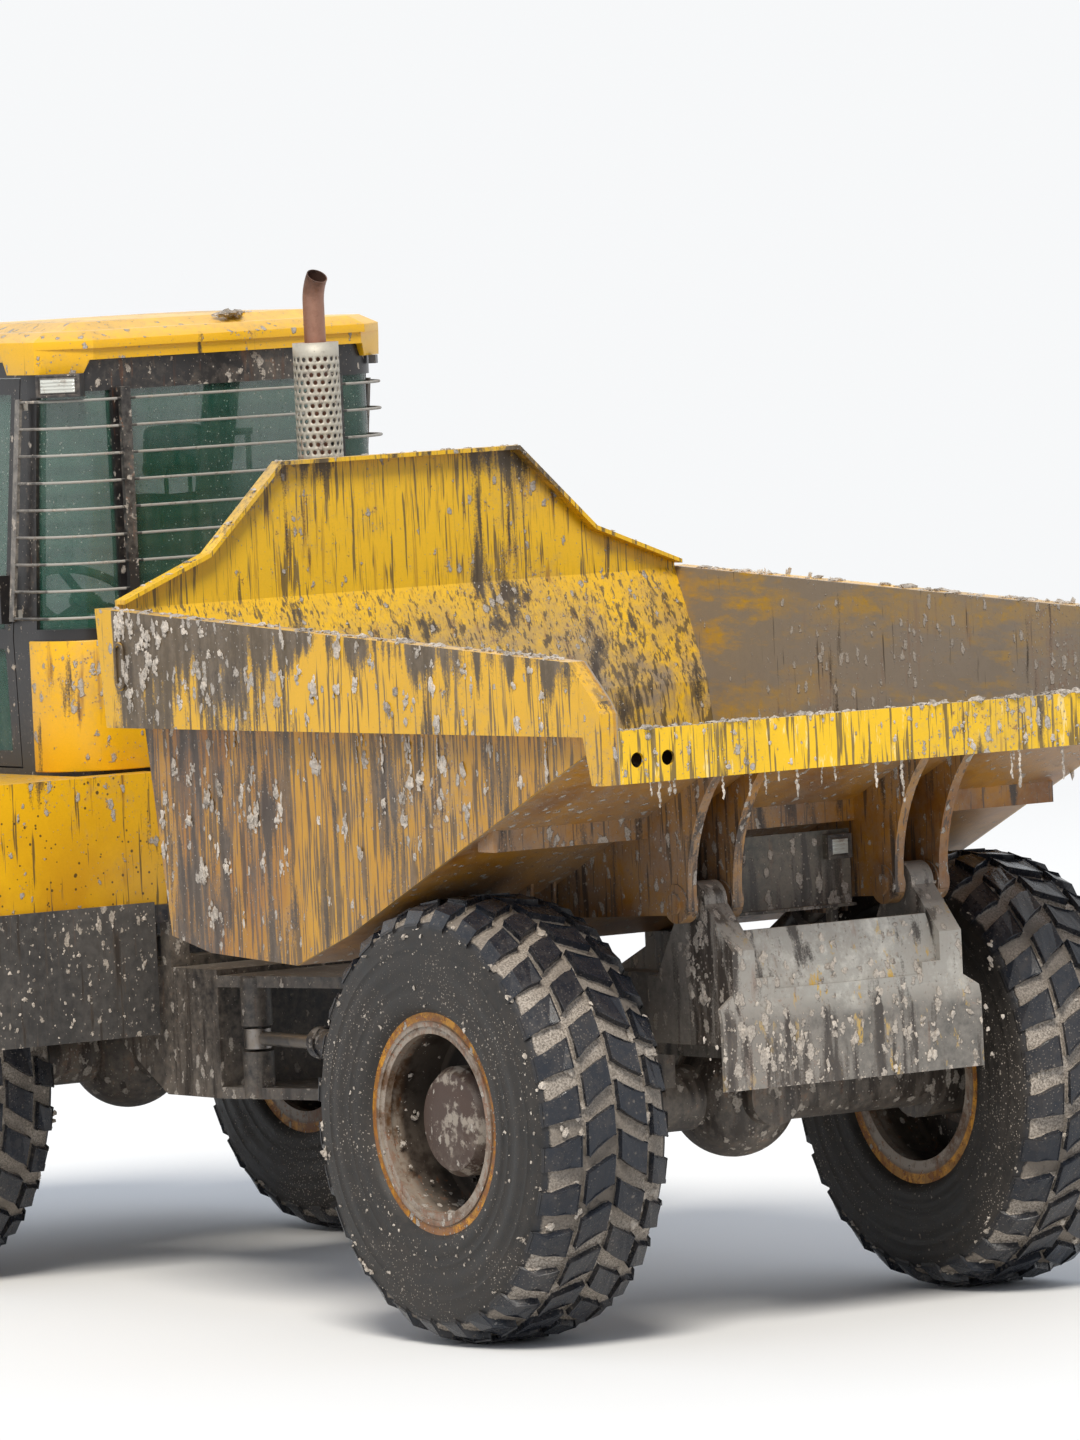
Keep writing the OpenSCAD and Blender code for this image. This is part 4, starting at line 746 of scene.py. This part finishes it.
cover = Finish("seat_cloth")
weave = cover.node("TexWave", {"wave_type": "BANDS", "bands_direction": "DIAGONAL"},
                   {"Vector": cover.place, "Scale": 160.0, "Distortion": 0.6})
channel = (abs(abs(cover.axis("y")) - 0.105)).rise(0.006, 0.0015)
nap = cover.spots(220, 2, 0.6)
cloth_tone = cover.lay((0.020, 0.021, 0.024), (0.055, 0.056, 0.062), weave * 0.5 + nap * 0.5)
# The sewn channels are painted darker than the cloth, as shade in their creases.
cloth_tone = cover.lay(cloth_tone, (0.008, 0.008, 0.009), channel)
cloth_tone = cover.lay(cloth_tone, (0.17, 0.155, 0.135), cover.spots(6, 5, 0.6).rise(0.52, 0.74) * 0.45)
seat_cloth = cover.surface(cloth_tone, 0.85, 0.0, weave * 0.3 + (1 - channel) * 0.7, 0.004,
                           Sheen_Weight=0.4)

padded("seat_cushion", [(0.02, 2.045), (0.56, 2.045), (0.56, 2.175), (0.02, 2.175)], 0.26, 0.93, 0.016)
padded("seat_back", [(0.02, 2.18), (0.15, 2.18), (0.04, 2.76), (-0.06, 2.76)], 0.24, 0.93, 0.014)
padded("seat_headrest", [(0.01, 2.78), (0.07, 2.78), (0.04, 2.98), (-0.04, 2.98)], 0.13, 0.92, 0.008)


def block(mesh, size, middle):
    """Adds a box to a bmesh."""
    verts = bmesh.ops.create_cube(mesh, size=1)["verts"]
    bmesh.ops.scale(mesh, vec=size, verts=verts)
    bmesh.ops.translate(mesh, vec=middle, verts=verts)


stand_mesh = bmesh.new()
block(stand_mesh, (0.38, 0.34, 0.05), (PEDESTAL_X, 0, 1.806))
block(stand_mesh, (0.40, 0.36, 0.03), (PEDESTAL_X, 0, 2.024))
# The bellows: a square tube with its walls folded in and out
for fold in range(FOLDS):
    ring = bmesh.ops.create_cube(stand_mesh, size=1)["verts"]
    low = BELLOWS_FOOT + fold * BELLOWS_HIGH / FOLDS
    for vert in ring:
        vert.co = Vector((PEDESTAL_X + vert.co.x * 0.34, vert.co.y * 0.30,
                          low + (vert.co.z + 0.5) * BELLOWS_HIGH / FOLDS))
    sides_only = [edge for edge in stand_mesh.edges if edge.verts[0] in ring and edge.verts[1] in ring
                  and abs(edge.verts[0].co.z - edge.verts[1].co.z) > 0.01]
    cut = bmesh.ops.subdivide_edges(stand_mesh, edges=sides_only, cuts=1, use_grid_fill=True)["geom_inner"]
    for vert in (item for item in cut if isinstance(item, bmesh.types.BMVert)):
        vert.co.x = PEDESTAL_X + (vert.co.x - PEDESTAL_X) * FOLD_OUT
        vert.co.y *= FOLD_OUT
for y in (0.05, -0.05):
    stem = bmesh.ops.create_cone(stand_mesh, cap_ends=True, segments=16, radius1=0.008, radius2=0.008,
                                 depth=0.10)["verts"]
    bmesh.ops.translate(stand_mesh, vec=(SEAT_X - 0.008, y, 2.77), verts=stem)
block(stand_mesh, (0.07, 0.42, 0.11), (SEAT_X + 0.05, 0, 2.165))
ease(stand_mesh, [edge for edge in stand_mesh.edges if edge.calc_face_angle(0) > 1.0], 0.004)
pedestal = stand("seat_pedestal", stand_mesh, dash_plastic)
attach(pedestal, "front_chassis")
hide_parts("seat")

# Lamps
# A work lamp on the left corner of the cab, the bare bracket of its missing twin on the
# right, and two headlamps low at the front: dark shells with pale lenses.
lamp_shell = soiled(Finish("lamp_shell"), (0.06, 0.06, 0.062), 0.35, film=0.3, runs=0.05, splash=0.2,
                    rust=0.0, seed=1.4)
dress(lamp_shell, "lamps")
pale_glass = lens_glass("pale_lens", (0.54, 0.55, 0.50), 0.3)
outward = Vector((-1, 1, 0)).normalized()
lamp_face("work_lamp_lens", Vector((0.915, 0.500, 3.1447)) + outward * 0.278, outward, 0.158, 0.078,
          pale_glass, "front_chassis")
for name, y in (("head_lamp_left", 0.74), ("head_lamp_right", -0.74)):
    lamp_face(name, (3.245, y, 1.245), (1, 0, 0), 0.235, 0.165, pale_glass, "front_chassis")

# Exhaust
# A steel stack burnt brown and blue by its own heat, inside a pale tube of pierced sheet:
# thirteen staggered rows of round holes under a plain band, held on two rings of the pipe.
heat = Finish("heat_tint")
level = heat.axis("z")
cloud = heat.spots(9, 5, 0.65)
fine = heat.spots(90, 4, 0.7)
tint = heat.node("ValToRGB", {"stops": [(0.0, (0.07, 0.055, 0.05)), (0.45, (0.12, 0.05, 0.03)),
                                        (0.62, (0.40, 0.22, 0.16)), (0.80, (0.36, 0.18, 0.12)),
                                        (0.955, (0.30, 0.165, 0.12)), (1.0, (0.012, 0.011, 0.012))]},
                 {"Fac": level.rise(1.1, 3.52) + (cloud - 0.5) * 0.10})
crust = (cloud * 0.6 + fine * 0.4).rise(0.48, 0.62)
burnt = heat.lay(tint, (0.20, 0.085, 0.045), crust * 0.5)
heat_steel = heat.surface(burnt, 0.45 + crust * 0.35, 0.75 - crust * 0.6, fine * 0.4 + crust * 0.5, 0.0015)
dress(heat_steel, "exhaust_pipe")
shield_steel = soiled(Finish("shield_steel"), (0.50, 0.47, 0.40), 0.55, metal=0.35, film=0.30, runs=0.05,
                      splash=0.1, rust=0.10, seed=2.2)
shield_low, shield_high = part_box("exhaust_shield")
shield_x, shield_y = (shield_low[0] + shield_high[0]) / 2, (shield_low[1] + shield_high[1]) / 2
shield_r = (shield_high[0] - shield_low[0]) / 2
sheet_r = shield_r - 0.0005  # just inside the plain tube that it takes the place of
HOLES_ROUND, HOLE_ROWS, HOLE_R, HOLE_SIDES = 19, 13, 0.0078, 16
PLAIN_FOOT, PLAIN_BAND, SHEET_GAUGE = 0.012, 0.045, 0.0025
cell_w = math.tau * shield_r / HOLES_ROUND
cell_h = (shield_high[2] - shield_low[2] - PLAIN_BAND - PLAIN_FOOT) / HOLE_ROWS
sheet = bmesh.new()
for row in range(HOLE_ROWS):
    for column in range(HOLES_ROUND):
        centre = Vector(((column + 0.5 * (row % 2)) * cell_w, PLAIN_FOOT + (row + 0.5) * cell_h, 0))
        hole = bmesh.ops.create_circle(sheet, segments=HOLE_SIDES, radius=HOLE_R)["verts"]
        rim = bmesh.ops.create_circle(sheet, segments=HOLE_SIDES, radius=1)["verts"]
        for vert in rim:
            reach = max(abs(vert.co.x), abs(vert.co.y))
            vert.co = Vector((round(vert.co.x / reach * 2) / 4 * cell_w,
                              round(vert.co.y / reach * 2) / 4 * cell_h, 0))
        bounds = [edge for edge in sheet.edges if edge.is_wire and
                  (edge.verts[0] in hole or edge.verts[0] in rim)]
        bmesh.ops.bridge_loops(sheet, edges=bounds)
        bmesh.ops.translate(sheet, verts=hole + rim, vec=centre)
for low, high in ((0.0, PLAIN_FOOT), (PLAIN_FOOT + HOLE_ROWS * cell_h, shield_high[2] - shield_low[2])):
    border = bmesh.ops.create_grid(sheet, x_segments=4 * HOLES_ROUND, y_segments=1, size=0.5)["verts"]
    for vert in border:
        vert.co = Vector(((vert.co.x + 0.5) * cell_w * HOLES_ROUND,
                          low + (vert.co.y + 0.5) * (high - low), 0))
for vert in sheet.verts:
    turn = vert.co.x / shield_r
    vert.co = Vector((shield_x + math.cos(turn) * sheet_r, shield_y + math.sin(turn) * sheet_r,
                      shield_low[2] + vert.co.y))
bmesh.ops.remove_doubles(sheet, verts=sheet.verts[:], dist=0.0006)
bmesh.ops.recalc_face_normals(sheet, faces=sheet.faces[:])
axis_foot = Vector((shield_x, shield_y, 0))
facing_out = sum(face.normal.dot((face.calc_center_median() - axis_foot) * Vector((1, 1, 0)))
                 for face in sheet.faces)
if facing_out < 0:
    bmesh.ops.reverse_faces(sheet, faces=sheet.faces[:])
for face in sheet.faces:
    face.smooth = True
shield = stand("pierced_shield", sheet, shield_steel)
wall = shield.modifiers.new("sheet_gauge", "SOLIDIFY")
wall.thickness, wall.offset = SHEET_GAUGE, -1
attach(shield, "front_chassis")
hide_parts("exhaust_shield")

# Wheels
# Earthmover tyres, a black carcass with four rows of deep blocks and clay pressed into every
# groove, on pressed and welded steel rims that are more rust and packed clay than yellow, each
# bolted to its hub by a ring of nuts.
TREAD_R, TREAD_HALF, SHOULDER_Y, SHOULDER_R = 0.735, 0.11, 0.22, 0.701
CROWN_FALL, SHOULDER_FALL = 0.309, 1.75  # how steeply the radius falls before and past the shoulder
TREAD_LIMIT = TREAD_R - 0.0008  # nothing stands further out, so no block sinks in the ground
SIDEWALL_Y = 0.2515
PITCHES, GROOVE, FLARE = 28, 0.046, 1.14
NUTS, NUT_CIRCLE = 12, 0.211


def tread_radius(y):
    """Outer radius of the tyre across its width."""
    y = abs(y)
    points = ((0.0, TREAD_R), (TREAD_HALF, TREAD_R), (SHOULDER_Y, SHOULDER_R), (0.252, 0.645),
              (0.26, 0.555))
    for (y0, r0), (y1, r1) in zip(points, points[1:]):
        if y <= y1:
            return r0 + (r1 - r0) * (y - y0) / (y1 - y0)
    return points[-1][1]


def on_wheel(angle, radius, y=0.0):
    """A point seen from a wheel's middle: an angle round the axle, out from it and along it."""
    return Vector((math.cos(angle) * radius, y, math.sin(angle) * radius))


def from_axle(finish, middle):
    """The distance from the wheel's axle, and the distance from its middle plane."""
    offset = finish.node("VectorMath", {"operation": "SUBTRACT"}, {0: finish.place, 1: middle})
    flat = finish.node("VectorMath", {"operation": "MULTIPLY"}, {0: offset, 1: (1, 0, 1)})
    across = abs(finish.node("SeparateXYZ", None, {"Vector": offset}, out="Y"))
    return finish.node("VectorMath", {"operation": "LENGTH"}, {0: flat}, out="Value"), across


def rubber(name, middle):
    """Rubber with clay packed into the grooves and specks of it on the sidewall."""
    finish = Finish(name)
    radius, across = from_axle(finish, middle)
    cloud = finish.spots(3.2, 3, 0.6, shift=middle)
    grain = finish.spots(30, 4, 0.65, shift=middle)
    fine = finish.spots(150, 3, 0.7)
    tread = TREAD_R - (across - TREAD_HALF).most(0.0) * CROWN_FALL
    crown = tread.least(SHOULDER_R - (across - SHOULDER_Y) * SHOULDER_FALL)
    sunk = (crown - radius).rise(0.010, 0.030)
    wall = radius.rise(0.668, 0.640)
    pack = (sunk * (1 - wall) * 0.42 + grain * 0.36 + cloud * 0.36).rise(0.62, 0.70)
    film = (grain * 0.5 + cloud * 0.5 + wall * 0.06).rise(0.44, 0.68) * 0.38
    # The tread's black has a faint blue cast as a painted sheen; the sidewall's black is neutral.
    tone = finish.lay((0.013, 0.016, 0.023), (0.012, 0.011, 0.010), wall)
    colour = finish.lay(tone, (0.080, 0.066, 0.055), film)
    large = finish.cells(40, shift=middle)
    small = finish.cells(95, shift=middle)
    speck = (0.34 - large + (grain - 0.5) * 0.7).past(0.20, 0.05)
    speck = speck.most((0.30 - small + (cloud - 0.5) * 0.6).past(0.12, 0.04))
    speck = speck * (0.35 + wall * 0.65)
    dirt = pack.most(speck)
    packed = finish.lay((0.17, 0.145, 0.12), CLAY_DRY, fine.rise(0.4, 0.6) * cloud.rise(0.35, 0.6))
    colour = finish.lay(colour, packed, dirt)
    rough = (0.22 + film * 0.6) * (1 - dirt) + dirt * 0.9
    height = grain * 0.15 * (0.3 + pack) + fine * 0.10 + pack * 0.75 + speck * 0.25
    return finish.surface(colour, rough + wall * 0.25, 0.0, height, 0.008, Specular_IOR_Level=0.4)


def tyre_piece(name, middle, material):
    """One tyre: its carcass and four rows of blocks."""
    mesh = bmesh.new()
    # Radius and half width along the profile between the blocks, with the sidewall's ribs
    half = [(0.337, 0.200), (0.377, 0.232), (0.385, 0.246), (0.41, 0.2505), (0.43, 0.254), (0.436, 0.2500),
            (0.445, 0.2495), (0.462, 0.2510), (0.466, 0.2535), (0.471, 0.2510), (0.50, 0.2515),
            (0.515, 0.2575), (0.54, 0.2575), (0.555, 0.2525), (0.575, 0.2520), (0.579, 0.2545),
            (0.584, 0.2515), (0.61, 0.2505), (0.640, 0.246), (0.668, 0.218), (0.690, 0.16), (0.702, 0.09),
            (0.704, 0.0)]
    outline = [(r, y) for r, y in half] + [(r, -y) for r, y in reversed(half[:-1])]
    ring = [mesh.verts.new((r, y, 0)) for r, y in outline]
    edges = [mesh.edges.new(pair) for pair in zip(ring, ring[1:] + ring[:1])]
    bmesh.ops.spin(mesh, geom=ring + edges, cent=(0, 0, 0), axis=(0, 1, 0), angle=math.tau, steps=112,
                   use_merge=True, use_duplicate=False)
    bmesh.ops.remove_doubles(mesh, verts=mesh.verts[:], dist=1e-5)
    bmesh.ops.recalc_face_normals(mesh, faces=mesh.faces[:])
    for face in mesh.faces:
        face.smooth = True
    # Blocks: inner edge, outer edge, length round the tyre at each edge, skew, phase
    rows = ((0.012, 0.112, 0.092, 0.102, 0.056, 0.0), (0.142, 0.245, 0.096, 0.078, 0.034, 0.5))
    for inner, outer, long_in, long_out, skew, phase in rows:
        for hand in (1, -1):
            lug = bmesh.new()
            bmesh.ops.create_cube(lug, size=1)
            lines = [edge for edge in lug.edges if abs(edge.verts[0].co.y - edge.verts[1].co.y) > 0.5]
            bmesh.ops.subdivide_edges(lug, edges=lines, cuts=2, use_grid_fill=True)
            crisp = [edge for edge in lug.edges if edge.calc_face_angle(0) > 1.0 and
                     (edge.verts[0].co.z > 0.4 or edge.verts[1].co.z > 0.4)]
            turn = math.tau * (phase + (0.5 if hand < 0 else 0.0)) / PITCHES
            for vert in lug.verts:
                across = vert.co.y + 0.5
                y = inner + (outer - inner) * across
                long = long_in + (long_out - long_in) * across
                flare, sunk = (1.0, 0.0015) if vert.co.z > 0 else (FLARE, GROOVE)
                angle = turn + (vert.co.x * long * flare + skew * (across - 0.5)) / TREAD_R
                vert.co = on_wheel(angle, tread_radius(y) - sunk, hand * y)
            ease(lug, crisp, 0.005)
            bmesh.ops.spin(lug, geom=lug.verts[:] + lug.edges[:] + lug.faces[:], cent=(0, 0, 0),
                           axis=(0, 1, 0), angle=math.tau * (PITCHES - 1) / PITCHES, steps=PITCHES - 1,
                           use_duplicate=True)
            row = bpy.data.meshes.new("block_row")
            lug.to_mesh(row)
            lug.free()
            mesh.from_mesh(row)
            bpy.data.meshes.remove(row)
    bmesh.ops.recalc_face_normals(mesh, faces=mesh.faces[:])
    for vert in mesh.verts:
        far = math.hypot(vert.co.x, vert.co.z)
        if far > TREAD_LIMIT:
            vert.co = Vector((vert.co.x / far * TREAD_LIMIT, vert.co.y, vert.co.z / far * TREAD_LIMIT))
    bmesh.ops.translate(mesh, verts=mesh.verts[:], vec=middle)
    return stand(name, mesh, material)


def rim_steel(name, middle, seed):
    """A rusty flange, a dish painted near black as shade and its deep inner part likewise, a hub cover and
    clay caked between them.
    """
    finish = Finish(name)
    radius, across = from_axle(finish, middle)
    grain = finish.spots(26, 5, 0.65, shift=middle)
    cloud = finish.spots(5, 5, 0.62, shift=middle)
    flange = radius.rise(0.338, 0.344)
    # The dish is painted near black as shade.
    shaded_dish = radius.rise(0.296, 0.288)
    hub = radius.rise(0.188, 0.184)
    paint = finish.lay((0.105, 0.050, 0.020), (0.66, 0.29, 0.010),
                       flange * (0.45 + grain.rise(0.45, 0.6) * 0.55))
    paint = finish.lay(paint, (0.014, 0.011, 0.009), shaded_dish * 0.95)
    paint = finish.lay(paint, (0.052, 0.027, 0.018), hub)
    # The deep inner part is painted near black as shade, with clay, film and rust kept thin on it.
    deep_shade = across.rise(0.170, 0.130) * (1 - hub)
    paint = finish.lay(paint, (0.012, 0.010, 0.009), deep_shade * 0.9)
    caked = radius.rise(0.285, 0.300) * radius.rise(0.345, 0.325)
    caked = caked * (cloud * 0.6 + grain * 0.4).rise(0.42, 0.52) * (1 - deep_shade * 0.85)
    caked = caked.most(hub * (cloud * 0.7 + grain * 0.3).rise(0.54, 0.58))
    paint = finish.lay(paint, (0.34, 0.29, 0.235), caked * 0.85)
    return soiled(finish, paint, 0.5, film=0.14 + hub * 0.04 - deep_shade * 0.16, runs=0.08, splash=0.18,
                  rust=0.36 + flange * 0.3 - shaded_dish * 0.34 - deep_shade * 0.1, seed=seed)


def nut_ring(name, middle, hand, material):
    """Hexagonal nuts on their studs, standing on the ring round the hub cover."""
    mesh = bmesh.new()
    for count in range(NUTS):
        angle = math.tau * (count + 0.5) / NUTS
        spot = on_wheel(angle, NUT_CIRCLE)
        for sides, radius, low, high in ((6, 0.0145, 0.018, 0.040), (12, 0.0075, 0.030, 0.052)):
            ring = bmesh.ops.create_cone(mesh, cap_ends=True, segments=sides, radius1=radius,
                                         radius2=radius * 0.94, depth=high - low)["verts"]
            bmesh.ops.rotate(mesh, cent=(0, 0, 0), matrix=Matrix.Rotation(-hand * math.pi / 2, 3, "X"),
                             verts=ring)
            bmesh.ops.translate(mesh, vec=spot + Vector((0, hand * (low + high) / 2, 0)), verts=ring)
    bmesh.ops.translate(mesh, verts=mesh.verts[:], vec=middle)
    bmesh.ops.recalc_face_normals(mesh, faces=mesh.faces[:])
    return stand(name, mesh, material)


def groove_clay(middle, seed, hand):
    """Places for clods in the grooves and on the outer wall of one tyre."""
    rng = random.Random(seed)
    middle = Vector(middle)
    spots = []
    for _ in range(170):
        angle = rng.uniform(0, math.tau)
        y = rng.choice((-1, 1)) * rng.choice((0.126, 0.126, 0.0, 0.19, 0.235)) + rng.uniform(-0.012, 0.012)
        out = on_wheel(angle, 1.0)
        depth = tread_radius(y) - rng.uniform(0.026, 0.038)
        spots.append((middle + out * depth + Vector((0, y, 0)), out, rng.uniform(0.010, 0.018), 1.0,
                      rng.randint(2, 6)))
    for _ in range(130):
        angle, radius = rng.uniform(0, math.tau), rng.uniform(0.385, 0.66)
        spots.append((middle + on_wheel(angle, radius, hand * SIDEWALL_Y), (0, hand, 0),
                      rng.uniform(0.002, 0.006), 1.0, rng.randint(1, 4)))
    for _ in range(60):
        angle, radius = rng.uniform(0, math.tau), rng.uniform(0.300, 0.333)
        spots.append((middle + on_wheel(angle, radius, hand * rng.uniform(0.02, 0.17)),
                      -on_wheel(angle, 1.0), rng.uniform(0.005, 0.012), 1.0, rng.randint(2, 6)))
    return spots


wheels = [(end, side_name) for end in ("front", "rear") for side_name in ("left", "right")]
for number, (end, side_name) in enumerate(wheels):
    low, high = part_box(f"tyre_{end}_{side_name}")
    middle = tuple((a + b) / 2 for a, b in zip(low, high))
    hand = 1 if side_name == "left" else -1
    tyre = tyre_piece(f"treaded_tyre_{end}_{side_name}", middle,
                      rubber(f"rubber_{end}_{side_name}", middle))
    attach(tyre, f"wheel_{end}_{side_name}")
    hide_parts(f"tyre_{end}_{side_name}")
    steel = rim_steel(f"rim_steel_{end}_{side_name}", middle, 7.9 + number)
    dress(steel, f"rim_{end}_{side_name}")
    nuts = nut_ring(f"wheel_nuts_{end}_{side_name}", middle, hand, steel)
    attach(nuts, f"wheel_{end}_{side_name}")
    clods(f"tyre_clay_{end}_{side_name}", f"wheel_{end}_{side_name}",
          groove_clay(middle, 40 + number, hand), 11 + number, clay)

# Clay on the frame
# What the tyres throw dries on the tail plate, the hinge lugs and the mudflaps, and a few
# lumps that fell from above lie on the cab's roof.
LUG_FACE_Y, FLAP_FACE_X = 0.466, 0.5945
rng = random.Random(29)
rear_lumps = []
for _ in range(120):
    z = rng.uniform(0.83, 1.30)
    half = 0.62 if z < 1.05 else 0.40
    x = PLATE_X + max(z - PLATE_BEND_Z, 0) * PLATE_LEAN
    rear_lumps.append(((x, rng.uniform(-half, half), z), (-1, 0, 0), rng.uniform(0.003, 0.011),
                       rng.uniform(1.0, 2.0), rng.randint(1, 7)))
for hand in (1, -1):
    for _ in range(26):
        rear_lumps.append(((rng.uniform(-2.72, -2.60), hand * LUG_FACE_Y, rng.uniform(1.10, 1.42)),
                           (0, hand, 0), rng.uniform(0.005, 0.012), 1.4, rng.randint(2, 7)))
clods("frame_clay", "rear_chassis", rear_lumps, 6, clay)
flap_lumps = []
for hand in (1, -1):
    for _ in range(70):
        flap_lumps.append(((FLAP_FACE_X, hand * rng.uniform(0.50, 1.19), rng.uniform(0.875, 1.30)),
                           (-1, 0, 0), rng.uniform(0.002, 0.007), rng.uniform(1.0, 1.8),
                           rng.randint(1, 4)))
clods("flap_clay", "front_chassis", flap_lumps, 8, clay)
roof_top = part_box("cab_roof")[1][2]
roof_lumps = [((0.86 + 0.05 * step, -0.12 - 0.07 * step, roof_top), (0, 0, 1), size, 1.0, 9)
              for step, size in enumerate((0.030, 0.014, 0.010))]
clods("roof_clay", "front_chassis", roof_lumps, 12, clay)
